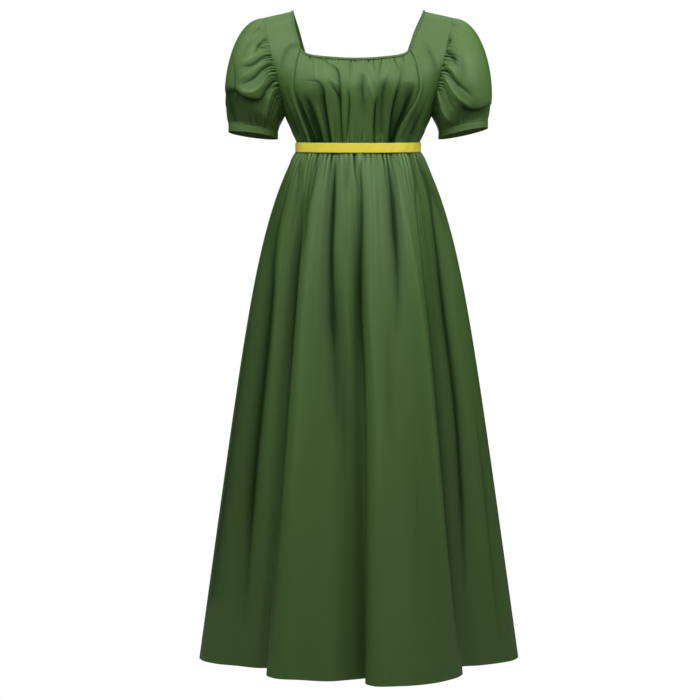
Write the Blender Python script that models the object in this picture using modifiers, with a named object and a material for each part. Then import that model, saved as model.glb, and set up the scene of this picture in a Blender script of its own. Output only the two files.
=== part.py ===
"""A regency gown, worn and hollow, modelled in metres with +Z up.

The origin lies between the two shoulder seams, where the wearer holds the gown up. +X is the
wearer's left and -Y is the front. Every piece of cloth is a wall with the garment's true shape:
the bodice panels lie on one dress form, the sleeves are lofted from the armholes to the cuffs,
and the skirt panels run from the gathered waist seam to a folded hem line.
Run it with: blender --background --python part.py
"""

from collections import namedtuple

import bmesh
import bpy
import numpy as np

GOWN = "regency gown"

# ---- Driving sizes, in metres ---------------------------------------------------------------

HEM_DROP = 1.340  # shoulder seam to hem
WAIST_DROP = 0.280  # shoulder seam to the raised waist seam, at the side
WAIST_DIP = 0.012  # how much lower the waist seam is at centre front, and higher at centre back
UNDERARM_DROP = 0.212
NECK_DROP = {"front": 0.112, "back": 0.098}  # at the centre
NECK_CORNER_DROP = 0.084  # where the straps meet the neckline
NECK_CURVE = 0.014  # how much of the neckline's rise is a shallow curve
NECK_CORNER_POWER = 9  # how tightly the rest turns up into the strap

CLOTH = 0.0018  # wall of the gown's cloth
CUFF_CLOTH = 0.0020
BINDING_CLOTH = 0.0012
RIBBON_CLOTH = 0.0012
SEAM_GAP = 0.0003
WAIST_GAP = 0.0006
ARMHOLE_GAP = 0.0006
TRIM_LIFT = 0.0008  # from the cloth to a trim that lies on it, as both are faceted
GATHER_SPRING = 0.022  # how far from a trim's edge the gathers reach their height

BINDING_WIDTH = 0.0045
RIBBON_WIDTH = 0.020
SKIRT_HELD = 0.01125  # below the waist seam, where the skirt still lies flat
CUFF_WIDTH = 0.0145

SQUARENESS = 2.3  # exponent of the form's sections: 2 is an ellipse
SHOULDER_ROUNDING = 0.030
SHOULDER_SLOPE = 0.22
SHOULDER_SLOPE_ENDS = 0.12  # drop below which the slope of the shoulder is gone
CUP_FULLNESS = 0.010
CUP_PLACE = {"x": 0.070, "drop": 0.160}
CUP_SPREAD = {"x": 0.036, "drop": 0.040}

# ---- Tables ---------------------------------------------------------------------------------

Section = namedtuple("Section", "drop half_width front back")
FORM = [
    Section(0.000, 0.262, 0.042, 0.042),
    Section(0.030, 0.251, 0.047, 0.048),
    Section(0.055, 0.242, 0.060, 0.063),
    Section(0.080, 0.228, 0.075, 0.075),
    Section(0.105, 0.210, 0.091, 0.084),
    Section(0.135, 0.189, 0.108, 0.090),
    Section(0.165, 0.171, 0.118, 0.093),
    Section(0.190, 0.159, 0.118, 0.093),
    Section(UNDERARM_DROP, 0.1515, 0.113, 0.091),
    Section(0.225, 0.1460, 0.109, 0.089),
    Section(0.240, 0.1390, 0.104, 0.087),
    Section(0.255, 0.1330, 0.099, 0.085),
    Section(0.2635, 0.1284, 0.096, 0.0842),
    Section(0.2685, 0.1266, 0.094, 0.0832),
    Section(WAIST_DROP, 0.1262, 0.093, 0.083),
    Section(0.310, 0.1262, 0.093, 0.083),
]

PanelEdge = namedtuple("PanelEdge", "drop front_right front_left back_right back_left")
INNER_EDGE = [  # a strap's neck edge, and from the corner down the seam beside the centre panel
    PanelEdge(0.000, 0.1335, 0.1335, 0.1335, 0.1335),
    PanelEdge(0.028, 0.1305, 0.1250, 0.1240, 0.1200),
    PanelEdge(0.055, 0.1250, 0.1140, 0.1165, 0.1100),
    PanelEdge(NECK_CORNER_DROP, 0.1190, 0.1060, 0.1085, 0.1010),
    PanelEdge(0.105, 0.1275, 0.1170, 0.1070, 0.1010),
    PanelEdge(0.140, 0.1335, 0.1255, 0.1050, 0.1020),
    PanelEdge(0.173, 0.1350, 0.1270, 0.1030, 0.1030),
    PanelEdge(0.205, 0.1275, 0.1150, 0.1000, 0.1000),
    PanelEdge(0.235, 0.1155, 0.0940, 0.0950, 0.0950),
    PanelEdge(0.262, 0.1035, 0.0790, 0.0900, 0.0900),
    PanelEdge(0.300, 0.0930, 0.0730, 0.0840, 0.0840),
]

ArmholePoint = namedtuple("ArmholePoint", "drop x")
ARMHOLE = [
    ArmholePoint(0.000, 0.1960),
    ArmholePoint(0.044, 0.1860),
    ArmholePoint(0.085, 0.1790),
    ArmholePoint(0.117, 0.1725),
    ArmholePoint(0.142, 0.1665),
    ArmholePoint(0.172, 0.1590),
    ArmholePoint(0.196, 0.1535),
    ArmholePoint(UNDERARM_DROP, 0.1515),
]

# The lines of vertices across the bodice, by nominal drop. The panels share them at their seams.
STRAP_ROWS = [0.000, 0.004, 0.014, 0.031, 0.055]
CHEST_ROWS = [NECK_CORNER_DROP, 0.112, 0.142, 0.172, 0.196, UNDERARM_DROP]
WAIST_ROWS = [0.244, 0.2685, WAIST_DROP]
NECKLINE_COLUMNS = 24

# The hem in plan. Across runs over the panel's width, from the wearer's right on the front and
# from the wearer's left on the back, so the tucks between the lobes hang under their gathers.
HemPoint = namedtuple("HemPoint", "lobe across x y")
HEM_FRONT = [
    HemPoint("right side seam", 0.000, -0.328, 0.003),
    HemPoint("first lobe", 0.060, -0.315, -0.030),
    HemPoint("first lobe", 0.120, -0.285, -0.062),
    HemPoint("first lobe", 0.180, -0.246, -0.082),
    HemPoint("first lobe", 0.225, -0.206, -0.106),
    HemPoint("first tuck", 0.255, -0.173, -0.116),
    HemPoint("first tuck", 0.275, -0.162, -0.148),
    HemPoint("first tuck", 0.295, -0.180, -0.186),
    HemPoint("second lobe", 0.315, -0.166, -0.218),
    HemPoint("second lobe", 0.360, -0.114, -0.238),
    HemPoint("second lobe", 0.410, -0.056, -0.252),
    HemPoint("second lobe", 0.450, -0.008, -0.232),
    HemPoint("centre tuck", 0.480, 0.028, -0.206),
    HemPoint("centre tuck", 0.500, 0.039, -0.238),
    HemPoint("centre tuck", 0.520, 0.014, -0.274),
    HemPoint("third lobe", 0.540, 0.026, -0.300),
    HemPoint("third lobe", 0.590, 0.080, -0.302),
    HemPoint("third lobe", 0.650, 0.130, -0.282),
    HemPoint("third lobe", 0.710, 0.168, -0.246),
    HemPoint("third lobe", 0.755, 0.197, -0.200),
    HemPoint("third tuck", 0.785, 0.203, -0.160),
    HemPoint("third tuck", 0.805, 0.188, -0.128),
    HemPoint("third tuck", 0.825, 0.202, -0.098),
    HemPoint("fourth lobe", 0.870, 0.245, -0.078),
    HemPoint("fourth lobe", 0.920, 0.290, -0.048),
    HemPoint("fourth lobe", 0.965, 0.320, -0.016),
    HemPoint("left side seam", 1.000, 0.332, 0.018),
]
HEM_BACK = [
    HemPoint("left side seam", 0.000, 0.332, 0.018),
    HemPoint("fifth lobe", 0.060, 0.328, 0.068),
    HemPoint("fifth lobe", 0.120, 0.305, 0.118),
    HemPoint("fifth tuck", 0.165, 0.262, 0.142),
    HemPoint("fifth tuck", 0.190, 0.243, 0.172),
    HemPoint("fifth tuck", 0.215, 0.252, 0.208),
    HemPoint("sixth lobe", 0.260, 0.218, 0.246),
    HemPoint("sixth lobe", 0.330, 0.156, 0.270),
    HemPoint("sixth lobe", 0.400, 0.094, 0.276),
    HemPoint("back tuck", 0.445, 0.050, 0.252),
    HemPoint("back tuck", 0.475, 0.020, 0.238),
    HemPoint("back tuck", 0.505, -0.004, 0.266),
    HemPoint("seventh lobe", 0.550, -0.046, 0.292),
    HemPoint("seventh lobe", 0.620, -0.112, 0.292),
    HemPoint("seventh lobe", 0.690, -0.172, 0.264),
    HemPoint("seventh tuck", 0.740, -0.210, 0.222),
    HemPoint("seventh tuck", 0.765, -0.210, 0.184),
    HemPoint("seventh tuck", 0.795, -0.230, 0.152),
    HemPoint("eighth lobe", 0.860, -0.283, 0.122),
    HemPoint("eighth lobe", 0.930, -0.317, 0.068),
    HemPoint("right side seam", 1.000, -0.328, 0.003),
]

# Soft folds: across is the place over the panel's width, from and to are shares of its length.
Fold = namedtuple("Fold", "across_top across_bottom width depth from_top to_bottom")
SKIRT_FOLDS = {
    "front": [
        Fold(0.150, 0.190, 0.035, 0.014, 0.02, 0.95),
        Fold(0.280, 0.275, 0.022, 0.012, 0.02, 0.50),
        Fold(0.412, 0.400, 0.028, 0.012, 0.02, 0.45),
        Fold(0.505, 0.500, 0.020, 0.014, 0.02, 0.50),
        Fold(0.625, 0.630, 0.030, 0.012, 0.02, 0.45),
        Fold(0.800, 0.805, 0.024, 0.012, 0.02, 0.50),
        Fold(0.905, 0.900, 0.026, 0.012, 0.05, 0.90),
    ],
    "back": [
        Fold(0.120, 0.110, 0.030, 0.012, 0.03, 0.80),
        Fold(0.310, 0.300, 0.036, 0.012, 0.02, 0.50),
        Fold(0.480, 0.480, 0.026, 0.014, 0.02, 0.50),
        Fold(0.660, 0.650, 0.038, 0.012, 0.02, 0.55),
        Fold(0.880, 0.870, 0.030, 0.012, 0.03, 0.80),
    ],
}
BODICE_FOLDS = {
    "front": [
        Fold(0.190, 0.200, 0.020, 0.0030, 0.25, 1.00),
        Fold(0.320, 0.335, 0.016, 0.0045, 0.02, 1.00),
        Fold(0.470, 0.500, 0.035, 0.0035, 0.20, 0.85),
        Fold(0.600, 0.660, 0.018, 0.0045, 0.02, 1.00),
        Fold(0.760, 0.830, 0.030, 0.0035, 0.25, 1.00),
    ],
    "back": [],
}

# Gathers: how many, how far a crest stands out, and how far from the seam the crests reach, as a
# share of the panel's length.
Gathers = namedtuple("Gathers", "count top_height top_reach bottom_height bottom_reach")
SKIRT_GATHERS = {"front": Gathers(22, 0.0030, 0.13, 0, 1), "back": Gathers(18, 0.0030, 0.13, 0, 1)}
BODICE_GATHERS = {
    "front": Gathers(22, 0.0017, 0.42, 0.0015, 0.45),
    "back": Gathers(10, 0, 1, 0.0014, 0.40),
}
SLEEVE_GATHERS = Gathers(14, 0.0034, 0.40, 0.0028, 0.30)
COLUMNS_PER_GATHER = 3  # one on the crest and two in the valley

SKIRT_ROWS = [0, 0.012, 0.030, 0.055, 0.095, 0.150, 0.230, 0.340, 0.480, 0.650, 0.840]  # below the seam
FLARE = {"starts": 0.012, "quick_share": 0.29, "quick_reach": 0.130}

# How the sleeve leaves the armhole (head) and arrives at the cuff (foot), round half of it.
SleeveTurn = namedtuple(
    "SleeveTurn", "degrees head_out head_forward head_up foot_out foot_forward foot_up"
)
SLEEVE_TURNS = [
    SleeveTurn(0, 0.078, 0.000, 0.003, 0.020, 0.000, 0.044),
    SleeveTurn(45, 0.064, 0.030, 0.006, 0.016, 0.018, 0.046),
    SleeveTurn(90, 0.046, 0.040, 0.004, 0.008, 0.030, 0.046),
    SleeveTurn(135, 0.024, 0.026, -0.004, 0.002, 0.020, 0.028),
    SleeveTurn(180, 0.006, 0.000, -0.012, -0.002, 0.000, 0.010),
]
SLEEVE_ROWS = [0, 0.05, 0.13, 0.25, 0.40, 0.56, 0.72, 0.87, 1]
CUFF = {"x": 0.2175, "half_width": 0.0515, "half_depth": 0.0480}
CUFF_DROP = {"right": 0.248, "left": 0.244}
CUFF_TILT = {"right": 0.13, "left": 0.21}  # rise of the cuff's outer side, for each metre across

COLOURS = {"cloth": (0.090, 0.155, 0.052, 1.0), "ribbon": (0.690, 0.600, 0.060, 1.0)}
ROUGHNESS = {"cloth": 0.72, "ribbon": 0.42}

FRONT, BACK = "front", "back"
RIGHT, LEFT = "right", "left"
SIDE = {RIGHT: -1, LEFT: 1}
FACING = {FRONT: -1, BACK: 1}


# ---- Tables read as smooth functions ------------------------------------------------------------


def through(places, values):
    """A smooth function through the values at these places, held flat past both ends."""
    places, values = np.array(places, float), np.array(values, float)
    slopes = np.gradient(values, places)

    def read(at):
        at = np.clip(at, places[0], places[-1])
        i = np.clip(np.searchsorted(places, at) - 1, 0, len(places) - 2)
        span = places[i + 1] - places[i]
        t = (at - places[i]) / span
        ahead = t * t * (3 - 2 * t)
        leaving, arriving = t * (1 - t) ** 2, t * t * (t - 1)
        bends = span * (leaving * slopes[i] + arriving * slopes[i + 1])
        return values[i] * (1 - ahead) + values[i + 1] * ahead + bends

    return read


def column(rows, name, by):
    """One named column of a table, as a smooth function of another column."""
    return through([getattr(row, by) for row in rows], [getattr(row, name) for row in rows])


def smoothstep(low, high, at):
    t = np.clip((at - low) / (high - low), 0, 1)
    return t * t * (3 - 2 * t)


form_half_width = column(FORM, "half_width", "drop")
form_depth = {face: column(FORM, face, "drop") for face in FACING}
strap_edge_x = {
    (face, side): column(INNER_EDGE, f"{face}_{side}", "drop") for face in FACING for side in SIDE
}
armhole_x = column(ARMHOLE, "x", "drop")


# ---- The dress form -------------------------------------------------------------------------------


def waist_drop(theta):
    return WAIST_DROP + WAIST_DIP * np.cos(theta)


def waist_stretch(theta):
    """Below the underarm the form's sections spread by this much, to follow the waist seam's dip."""
    return (waist_drop(theta) - UNDERARM_DROP) / (WAIST_DROP - UNDERARM_DROP)


def form_point(theta, drop):
    """A point on the form. Theta is 0 at centre front and a quarter turn at the wearer's left."""
    sine, cosine = np.sin(theta), np.cos(theta)
    power = 2 / SQUARENESS
    x = form_half_width(drop) * np.sign(sine) * np.abs(sine) ** power
    rounding = np.sqrt(1 - (1 - np.clip(drop / SHOULDER_ROUNDING, 0, 1)) ** 2)
    depth = rounding * np.where(cosine > 0, form_depth[FRONT](drop), form_depth[BACK](drop))
    sideways = (np.abs(x) - CUP_PLACE["x"]) / CUP_SPREAD["x"]
    upwards = (drop - CUP_PLACE["drop"]) / CUP_SPREAD["drop"]
    cup = np.where(cosine > 0, CUP_FULLNESS * np.exp(-(sideways**2) - upwards**2), 0)
    y = -depth * np.sign(cosine) * np.abs(cosine) ** power - cup
    sloping = (1 - smoothstep(0, SHOULDER_SLOPE_ENDS, drop)) * SHOULDER_SLOPE
    spreading = np.maximum(drop - UNDERARM_DROP, 0) * (waist_stretch(theta) - 1)
    z = -drop - sloping * (np.abs(x) - INNER_EDGE[0].front_right) - spreading
    return np.stack([x, y, z], axis=-1)


def theta_at(x, drop, face):
    """The form's angle where it is x metres to the left of the middle."""
    share = np.clip(np.abs(x) / form_half_width(drop), 0, 1)
    angle = np.sign(x) * np.arcsin(share ** (SQUARENESS / 2))
    return angle if face == FRONT else np.pi - angle


def neck_drop(share, face):
    """The neckline from strap to strap: share runs from -1 to 1."""
    turning_up = NECK_DROP[face] - NECK_CURVE - NECK_CORNER_DROP
    return NECK_DROP[face] - NECK_CURVE * share**2 - turning_up * np.abs(share) ** NECK_CORNER_POWER


def normals_of(surface, across, down, step=2e-4):
    """Unit normals of a surface, pointing out of the gown."""
    sideways = surface(across + step, down) - surface(across - step, down)
    lengthways = surface(across, down + step) - surface(across, down - step)
    normal = np.cross(lengthways, sideways)
    return normal / np.maximum(np.linalg.norm(normal, axis=-1, keepdims=True), 1e-12)


def raised(surface, relief):
    """The surface moved out along its own normals by a relief."""

    def point(across, down):
        return surface(across, down) + normals_of(surface, across, down) * relief(across, down)[..., None]

    return point


# ---- Relief: gathers and folds ----------------------------------------------------------------------


def gather_relief(across, down, gathers):
    """Waves that rise from a gathered seam and die away from it, uneven from one to the next."""
    turn = 2 * np.pi * across
    uneven = 1 + 0.26 * np.sin(2 * turn + 0.8) + 0.20 * np.sin(6 * turn + 2.3)
    wave = np.cos(gathers.count * turn)
    up = 1 - down
    top = gathers.top_height * np.exp(-3 * (down / gathers.top_reach) ** 2)
    bottom = gathers.bottom_height * np.exp(-3 * (up / gathers.bottom_reach) ** 2)
    return wave * uneven * (top + bottom)


def fold_relief(across, down, folds):
    """Soft troughs from a table, each with its own place, width, depth and length."""
    relief = np.zeros(np.broadcast(across, down).shape)
    for fold in folds:
        middle = fold.across_top + (fold.across_bottom - fold.across_top) * down
        along = np.clip((down - fold.from_top) / (fold.to_bottom - fold.from_top), 0, 1)
        strength = np.sin(np.pi * along**0.7)
        relief = relief - fold.depth * strength * np.exp(-(((across - middle) / fold.width) ** 2))
    return relief


def between_seams(share, margin):
    """0 where the cloth is held by seams, at shares 0 and 1, and 1 in between."""
    return smoothstep(0, margin, share) * smoothstep(0, margin, 1 - share)


def clear_of_trim(distance, trim):
    """0 where a trim presses the gathers flat, and 1 where they have sprung up beside it."""
    return smoothstep(trim, trim + GATHER_SPRING, distance)


# ---- Making walls of cloth ----------------------------------------------------------------------------


def even(count):
    return np.linspace(0, 1, count + 1)


def lay_grid(mesh, point, columns, rows):
    """Adds a grid to a bmesh and moves each of its vertices to its place in the garment."""
    last = np.array([len(columns) - 1, len(rows) - 1])
    grid = bmesh.ops.create_grid(mesh, x_segments=last[0], y_segments=last[1], size=1)["verts"]
    corner = np.array([vertex.co[:2] for vertex in grid])
    i = np.rint((1 + corner[:, 0]) / 2 * last[0]).astype(int)
    j = np.rint((1 - corner[:, 1]) / 2 * last[1]).astype(int)
    places = point(np.asarray(columns, float)[i], np.asarray(rows, float)[j])
    for vertex, place in zip(grid, places):
        vertex.co = place


def cloth_piece(name, grids, wall, finish, grows):
    """One wall of cloth. Each grid is a surface with its columns and rows; grids that share an edge
    are one piece. The wall grows out of the gown from the surface (1) or into it (-1)."""
    mesh = bmesh.new()
    for grid in grids:
        lay_grid(mesh, *grid)
    bmesh.ops.remove_doubles(mesh, verts=mesh.verts[:], dist=SEAM_GAP / 10)
    data = bpy.data.meshes.new(name)
    mesh.to_mesh(data)
    mesh.free()
    data.shade_smooth()
    data.materials.append(finish)
    piece = bpy.data.objects.new(name, data)
    bpy.data.collections[GOWN].objects.link(piece)
    solidify = piece.modifiers.new("wall", "SOLIDIFY")
    solidify.thickness = wall
    solidify.offset = grows
    return piece


def finish_named(name):
    """A Principled BSDF with the colour and roughness of one of the gown's two cloths."""
    finish = bpy.data.materials.new(name)
    finish.use_nodes = True
    shader = finish.node_tree.nodes["Principled BSDF"]
    shader.inputs["Base Color"].default_value = COLOURS[name]
    shader.inputs["Roughness"].default_value = ROUGHNESS[name]
    shader.inputs["Metallic"].default_value = 0.0
    return finish


# ---- Bodice ---------------------------------------------------------------------------------------------


def parted(points, face):
    """Front and back panels stand half a seam gap from the shoulder and side seams."""
    return points + np.array([0, FACING[face] * SEAM_GAP / 2, 0])


def centre_edges(drop, face, seam):
    """The x of a centre panel's two edges at a drop. Across runs to the left on the front."""
    first, second = (RIGHT, LEFT) if face == FRONT else (LEFT, RIGHT)
    start = SIDE[first] * (strap_edge_x[face, first](drop) - seam)
    return start, SIDE[second] * (strap_edge_x[face, second](drop) - seam)


def bodice_centre(face, seam):
    """The panel between the straps, from the neckline to the waist. Down is the drop at its edges."""

    def point(across, down):
        scoop = neck_drop(2 * across - 1, face) - NECK_CORNER_DROP
        above = np.clip((UNDERARM_DROP - down) / (UNDERARM_DROP - NECK_CORNER_DROP), 0, 1)
        drop = down + scoop * above
        start, end = centre_edges(drop, face, seam)
        return parted(form_point(theta_at(start + (end - start) * across, drop, face), drop), face)

    return point


def bodice_side(face, side, seam):
    """The strap and the plain panel under it, from its inner edge to the armhole and side seam."""
    quarter = SIDE[side] * np.pi / 2
    at_side_seam = quarter if face == FRONT else np.pi - quarter

    def point(across, drop):
        outward = across if (face == FRONT) == (side == LEFT) else 1 - across
        inner = theta_at(SIDE[side] * (strap_edge_x[face, side](drop) + seam), drop, face)
        at_armhole = theta_at(SIDE[side] * armhole_x(drop), drop, face)
        outer = np.where(drop < UNDERARM_DROP, at_armhole, at_side_seam)
        return parted(form_point(inner + (outer - inner) * outward, drop), face)

    return point


def bodice_relief(face):
    """Gathers and folds of a centre panel, still at its seams and flat under its two trims."""

    def relief(across, down):
        from_neck, from_waist = down - NECK_CORNER_DROP, WAIST_DROP - down
        share = from_neck / (WAIST_DROP - NECK_CORNER_DROP)
        waves = gather_relief(across, share, BODICE_GATHERS[face])
        waves = waves + fold_relief(across, share, BODICE_FOLDS[face])
        free = clear_of_trim(from_neck, BINDING_WIDTH) * clear_of_trim(from_waist, RIBBON_WIDTH / 2)
        return waves * free * between_seams(across, 0.06)

    return relief


def build_bodice(finish):
    rows = CHEST_ROWS + WAIST_ROWS
    gathered = even(BODICE_GATHERS[FRONT].count * COLUMNS_PER_GATHER)
    front = raised(bodice_centre(FRONT, SEAM_GAP / 2), bodice_relief(FRONT))
    cloth_piece("bodice_front", [(front, gathered, rows)], CLOTH, finish, 1)
    for side in SIDE:
        panel = bodice_side(FRONT, side, SEAM_GAP / 2)
        grid = (panel, even(8), STRAP_ROWS + rows)
        cloth_piece(f"side_front_{side}", [grid], CLOTH, finish, 1)
    back_gathered = even(BODICE_GATHERS[BACK].count * COLUMNS_PER_GATHER)
    back = [(raised(bodice_centre(BACK, 0), bodice_relief(BACK)), back_gathered, rows)]
    for side in SIDE:
        back.append((bodice_side(BACK, side, 0), even(6), STRAP_ROWS + rows))
    cloth_piece("bodice_back", back, CLOTH, finish, 1)


def neck_line(inset):
    """The edge of the neck opening, or a line this far inside it, as angles and drops on the form."""
    strap, share = np.array(STRAP_ROWS), np.linspace(-1, 1, NECKLINE_COLUMNS + 1)
    turning_up = np.abs(share) ** NECK_CORNER_POWER
    thetas, drops = [], []
    for face, first, second in ((FRONT, RIGHT, LEFT), (BACK, LEFT, RIGHT)):
        down, up = (strap_edge_x[face, side](strap) + inset for side in (first, second))
        line_drop = neck_drop(share, face)
        start, end = centre_edges(line_drop, face, 0)
        line_x = start + (end - start) * (share + 1) / 2 + np.sign(end * share) * turning_up * inset
        x = np.concatenate([SIDE[first] * down, line_x, SIDE[second] * up[:0:-1]])
        drop = np.concatenate([strap, line_drop + inset * (1 - turning_up), strap[:0:-1]])
        thetas.append(theta_at(x, drop, face))
        drops.append(drop)
    line = np.stack([np.concatenate(thetas), np.concatenate(drops)], axis=-1)
    return np.concatenate([line, line[:1]])


def build_neck_binding(finish):
    """A narrow band on the outside of the panels, all round the neck opening."""
    lines = np.stack([neck_line(0), neck_line(BINDING_WIDTH)])
    last = lines.shape[1] - 1

    def band(across, down):
        theta, drop = lines[np.rint(down).astype(int), np.rint(across * last).astype(int)].T
        return form_point(theta, drop) + normals_of(form_point, theta, drop) * (CLOTH + TRIM_LIFT)

    cloth_piece("neck_binding", [(band, even(last), even(1))], BINDING_CLOTH, finish, 1)


# ---- Waist ribbon, skirt, sleeves and cuffs -----------------------------------------------------------------


def build_waist_ribbon(finish):
    lift = CLOTH + TRIM_LIFT

    def band(across, down):
        theta = 2 * np.pi * across - np.pi / 2
        return form_point(theta, WAIST_DROP + (down - 0.5) * RIBBON_WIDTH / waist_stretch(theta))

    ribbon = raised(band, lambda across, down: np.full(across.shape, lift))
    cloth_piece("waist_ribbon", [(ribbon, even(80), even(1))], RIBBON_CLOTH, finish, 1)


def flare(below_seam, length):
    """How far the skirt has widened: a quick spring below the ribbon, then an even spread."""
    share = np.clip((below_seam - FLARE["starts"]) / (length - FLARE["starts"]), 0, 1)
    quick = 1 - np.exp(-share / FLARE["quick_reach"])
    return FLARE["quick_share"] * quick + (1 - FLARE["quick_share"]) * share


def skirt_panel(face):
    """From the waist seam to the hem. Down is a share of the length below the waist seam."""
    hem = HEM_FRONT if face == FRONT else HEM_BACK
    hem_x, hem_y = column(hem, "x", "across"), column(hem, "y", "across")
    start = -np.pi / 2 if face == FRONT else np.pi / 2

    def base(across, down):
        theta = start + np.pi * across
        top = form_point(theta, WAIST_DROP + WAIST_GAP)
        bottom = np.stack([hem_x(across), hem_y(across), np.full(across.shape, -HEM_DROP)], axis=-1)
        length = HEM_DROP - WAIST_DROP
        spread = flare(down * length, length)[..., None]
        place = top + (bottom - top) * np.concatenate([spread, spread, down[..., None]], axis=-1)
        return parted(place, face)

    def relief(across, down):
        waves = gather_relief(across, down, SKIRT_GATHERS[face])
        waves = waves + fold_relief(across, down, SKIRT_FOLDS[face])
        free = clear_of_trim(down * (HEM_DROP - WAIST_DROP), SKIRT_HELD)
        return waves * free * between_seams(across, 0.04)

    return raised(base, relief)


def build_skirt(finish):
    length = HEM_DROP - WAIST_DROP
    rows = np.array(SKIRT_ROWS + [length]) / length
    for face, gathers in SKIRT_GATHERS.items():
        columns = even(gathers.count * COLUMNS_PER_GATHER)
        cloth_piece(f"skirt_{face}", [(skirt_panel(face), columns, rows)], CLOTH, finish, 1)


def cuff_ring(turn, side, down):
    """The outside of a cuff. Turn is 0 at its outer side and a quarter at the front."""
    x = CUFF["half_width"] * np.cos(turn)
    y = -CUFF["half_depth"] * np.sin(turn)
    z = -CUFF_DROP[side] + CUFF_WIDTH * (0.5 - down) + CUFF_TILT[side] * x
    return np.stack([SIDE[side] * (CUFF["x"] + x), y, z], axis=-1)


def armhole_ring(turn, side):
    """The outside of the armhole's edge, straight between the bodice's rows as the panels are."""
    drops = np.array([row for row in STRAP_ROWS + CHEST_ROWS])
    turns = np.arccos(1 - 2 * drops / UNDERARM_DROP)
    edges = []
    for face in (FRONT, BACK):
        theta = theta_at(SIDE[side] * armhole_x(drops), drops, face)
        normal = normals_of(form_point, theta, drops)
        edges.append(form_point(theta, drops) + normal * CLOTH)
    around = np.concatenate([turns, 2 * np.pi - turns[-2::-1]])
    ring = np.concatenate([edges[0], edges[1][-2::-1]])
    places = np.stack([np.interp(turn, around, ring[:, axis]) for axis in range(3)], axis=-1)
    return places + np.array([SIDE[side] * ARMHOLE_GAP, 0, 0])


def sleeve(side):
    """A puffed sleeve: each line from the armhole to the cuff is one Bezier curve."""
    reach = {name: column(SLEEVE_TURNS, name, "degrees") for name in SleeveTurn._fields[1:]}

    def handle(end, turn):
        degrees = np.degrees(turn)
        half = np.minimum(degrees, 360 - degrees)
        front = np.where(degrees <= 180, -1, 1)
        out, forward, up = (reach[f"{end}_{way}"](half) for way in ("out", "forward", "up"))
        return np.stack([SIDE[side] * out, front * forward, up], axis=-1)

    def base(across, down):
        turn = 2 * np.pi * ((across if side == RIGHT else -across) % 1)
        down = down[..., None]
        start = armhole_ring(turn, side)
        end = cuff_ring(turn, side, np.zeros(turn.shape)) + np.array([0, 0, SEAM_GAP])
        leaving, arriving = start + handle("head", turn), end + handle("foot", turn)
        up = 1 - down
        return up**3 * start + 3 * up**2 * down * leaving + 3 * up * down**2 * arriving + down**3 * end

    def relief(across, down):
        fullness = 0.6 + 0.4 * np.cos(2 * np.pi * across)  # none is needed at the underarm
        return gather_relief(across, down, SLEEVE_GATHERS) * fullness * between_seams(down, 0.10)

    return raised(base, relief)


def build_sleeve_and_cuff(side, finish):
    columns = even(SLEEVE_GATHERS.count * COLUMNS_PER_GATHER)
    cloth_piece(f"sleeve_{side}", [(sleeve(side), columns, SLEEVE_ROWS)], CLOTH, finish, -1)

    def band(across, down):
        turn = 2 * np.pi * (across if side == RIGHT else -across)
        return cuff_ring(turn, side, down)

    cloth_piece(f"cuff_{side}", [(band, even(32), even(1))], CUFF_CLOTH, finish, -1)


# ---- The gown ---------------------------------------------------------------------------------------------------


def main():
    for leftover in list(bpy.data.objects):
        bpy.data.objects.remove(leftover)
    collection = bpy.data.collections.new(GOWN)
    bpy.context.scene.collection.children.link(collection)
    cloth, ribbon = finish_named("cloth"), finish_named("ribbon")
    build_bodice(cloth)
    build_neck_binding(cloth)
    build_waist_ribbon(ribbon)
    build_skirt(cloth)
    for side in SIDE:
        build_sleeve_and_cuff(side, cloth)


main()
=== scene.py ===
# %% [markdown]
# # A regency gown, worn and hollow
# The real gown is sewn from a thin, smooth, plain-woven cloth: a square neck gathered on a narrow
# binding, plain straps that run down into side panels, short puffed sleeves on narrow cuffs, a
# satin ribbon round a high waist and a long skirt gathered into it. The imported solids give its
# size and its true form. This lesson lays a finer cloth over each of them, with the creases,
# seams and weave that a solid is too coarse for. All sizes are metres. The origin lies between
# the shoulders, +X is the wearer's left and -Y is the front.

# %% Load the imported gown
from collections import namedtuple

import bmesh
import bpy
import numpy as np
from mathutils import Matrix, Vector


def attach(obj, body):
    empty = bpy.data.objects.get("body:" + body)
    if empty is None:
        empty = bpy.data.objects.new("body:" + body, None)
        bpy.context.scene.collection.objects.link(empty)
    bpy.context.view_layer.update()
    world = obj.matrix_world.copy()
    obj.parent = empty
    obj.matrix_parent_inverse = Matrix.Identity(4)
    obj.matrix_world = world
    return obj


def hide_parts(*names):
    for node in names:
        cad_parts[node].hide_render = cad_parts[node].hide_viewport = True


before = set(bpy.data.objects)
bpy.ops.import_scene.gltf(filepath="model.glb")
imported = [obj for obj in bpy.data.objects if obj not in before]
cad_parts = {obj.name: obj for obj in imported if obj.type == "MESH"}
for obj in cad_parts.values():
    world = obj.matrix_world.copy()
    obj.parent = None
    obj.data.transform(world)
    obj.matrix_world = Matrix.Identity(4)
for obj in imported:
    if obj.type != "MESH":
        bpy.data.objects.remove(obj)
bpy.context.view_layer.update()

# %% [markdown]
# ## Camera
# The gown is seen straight from the front, from a few metres away and from the height of its
# middle. The camera therefore looks up at the cuffs and down at the hem. It stands a little to
# the wearer's right, which puts the neckline in the middle of the frame. A long lens from this
# distance keeps the hem and the shoulders in true proportion.

# %% The camera
CAMERA_PLACE = (-0.017, -3.70, -0.70)
LENS_MM = 91.8
SENSOR_MM = 36.0

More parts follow.
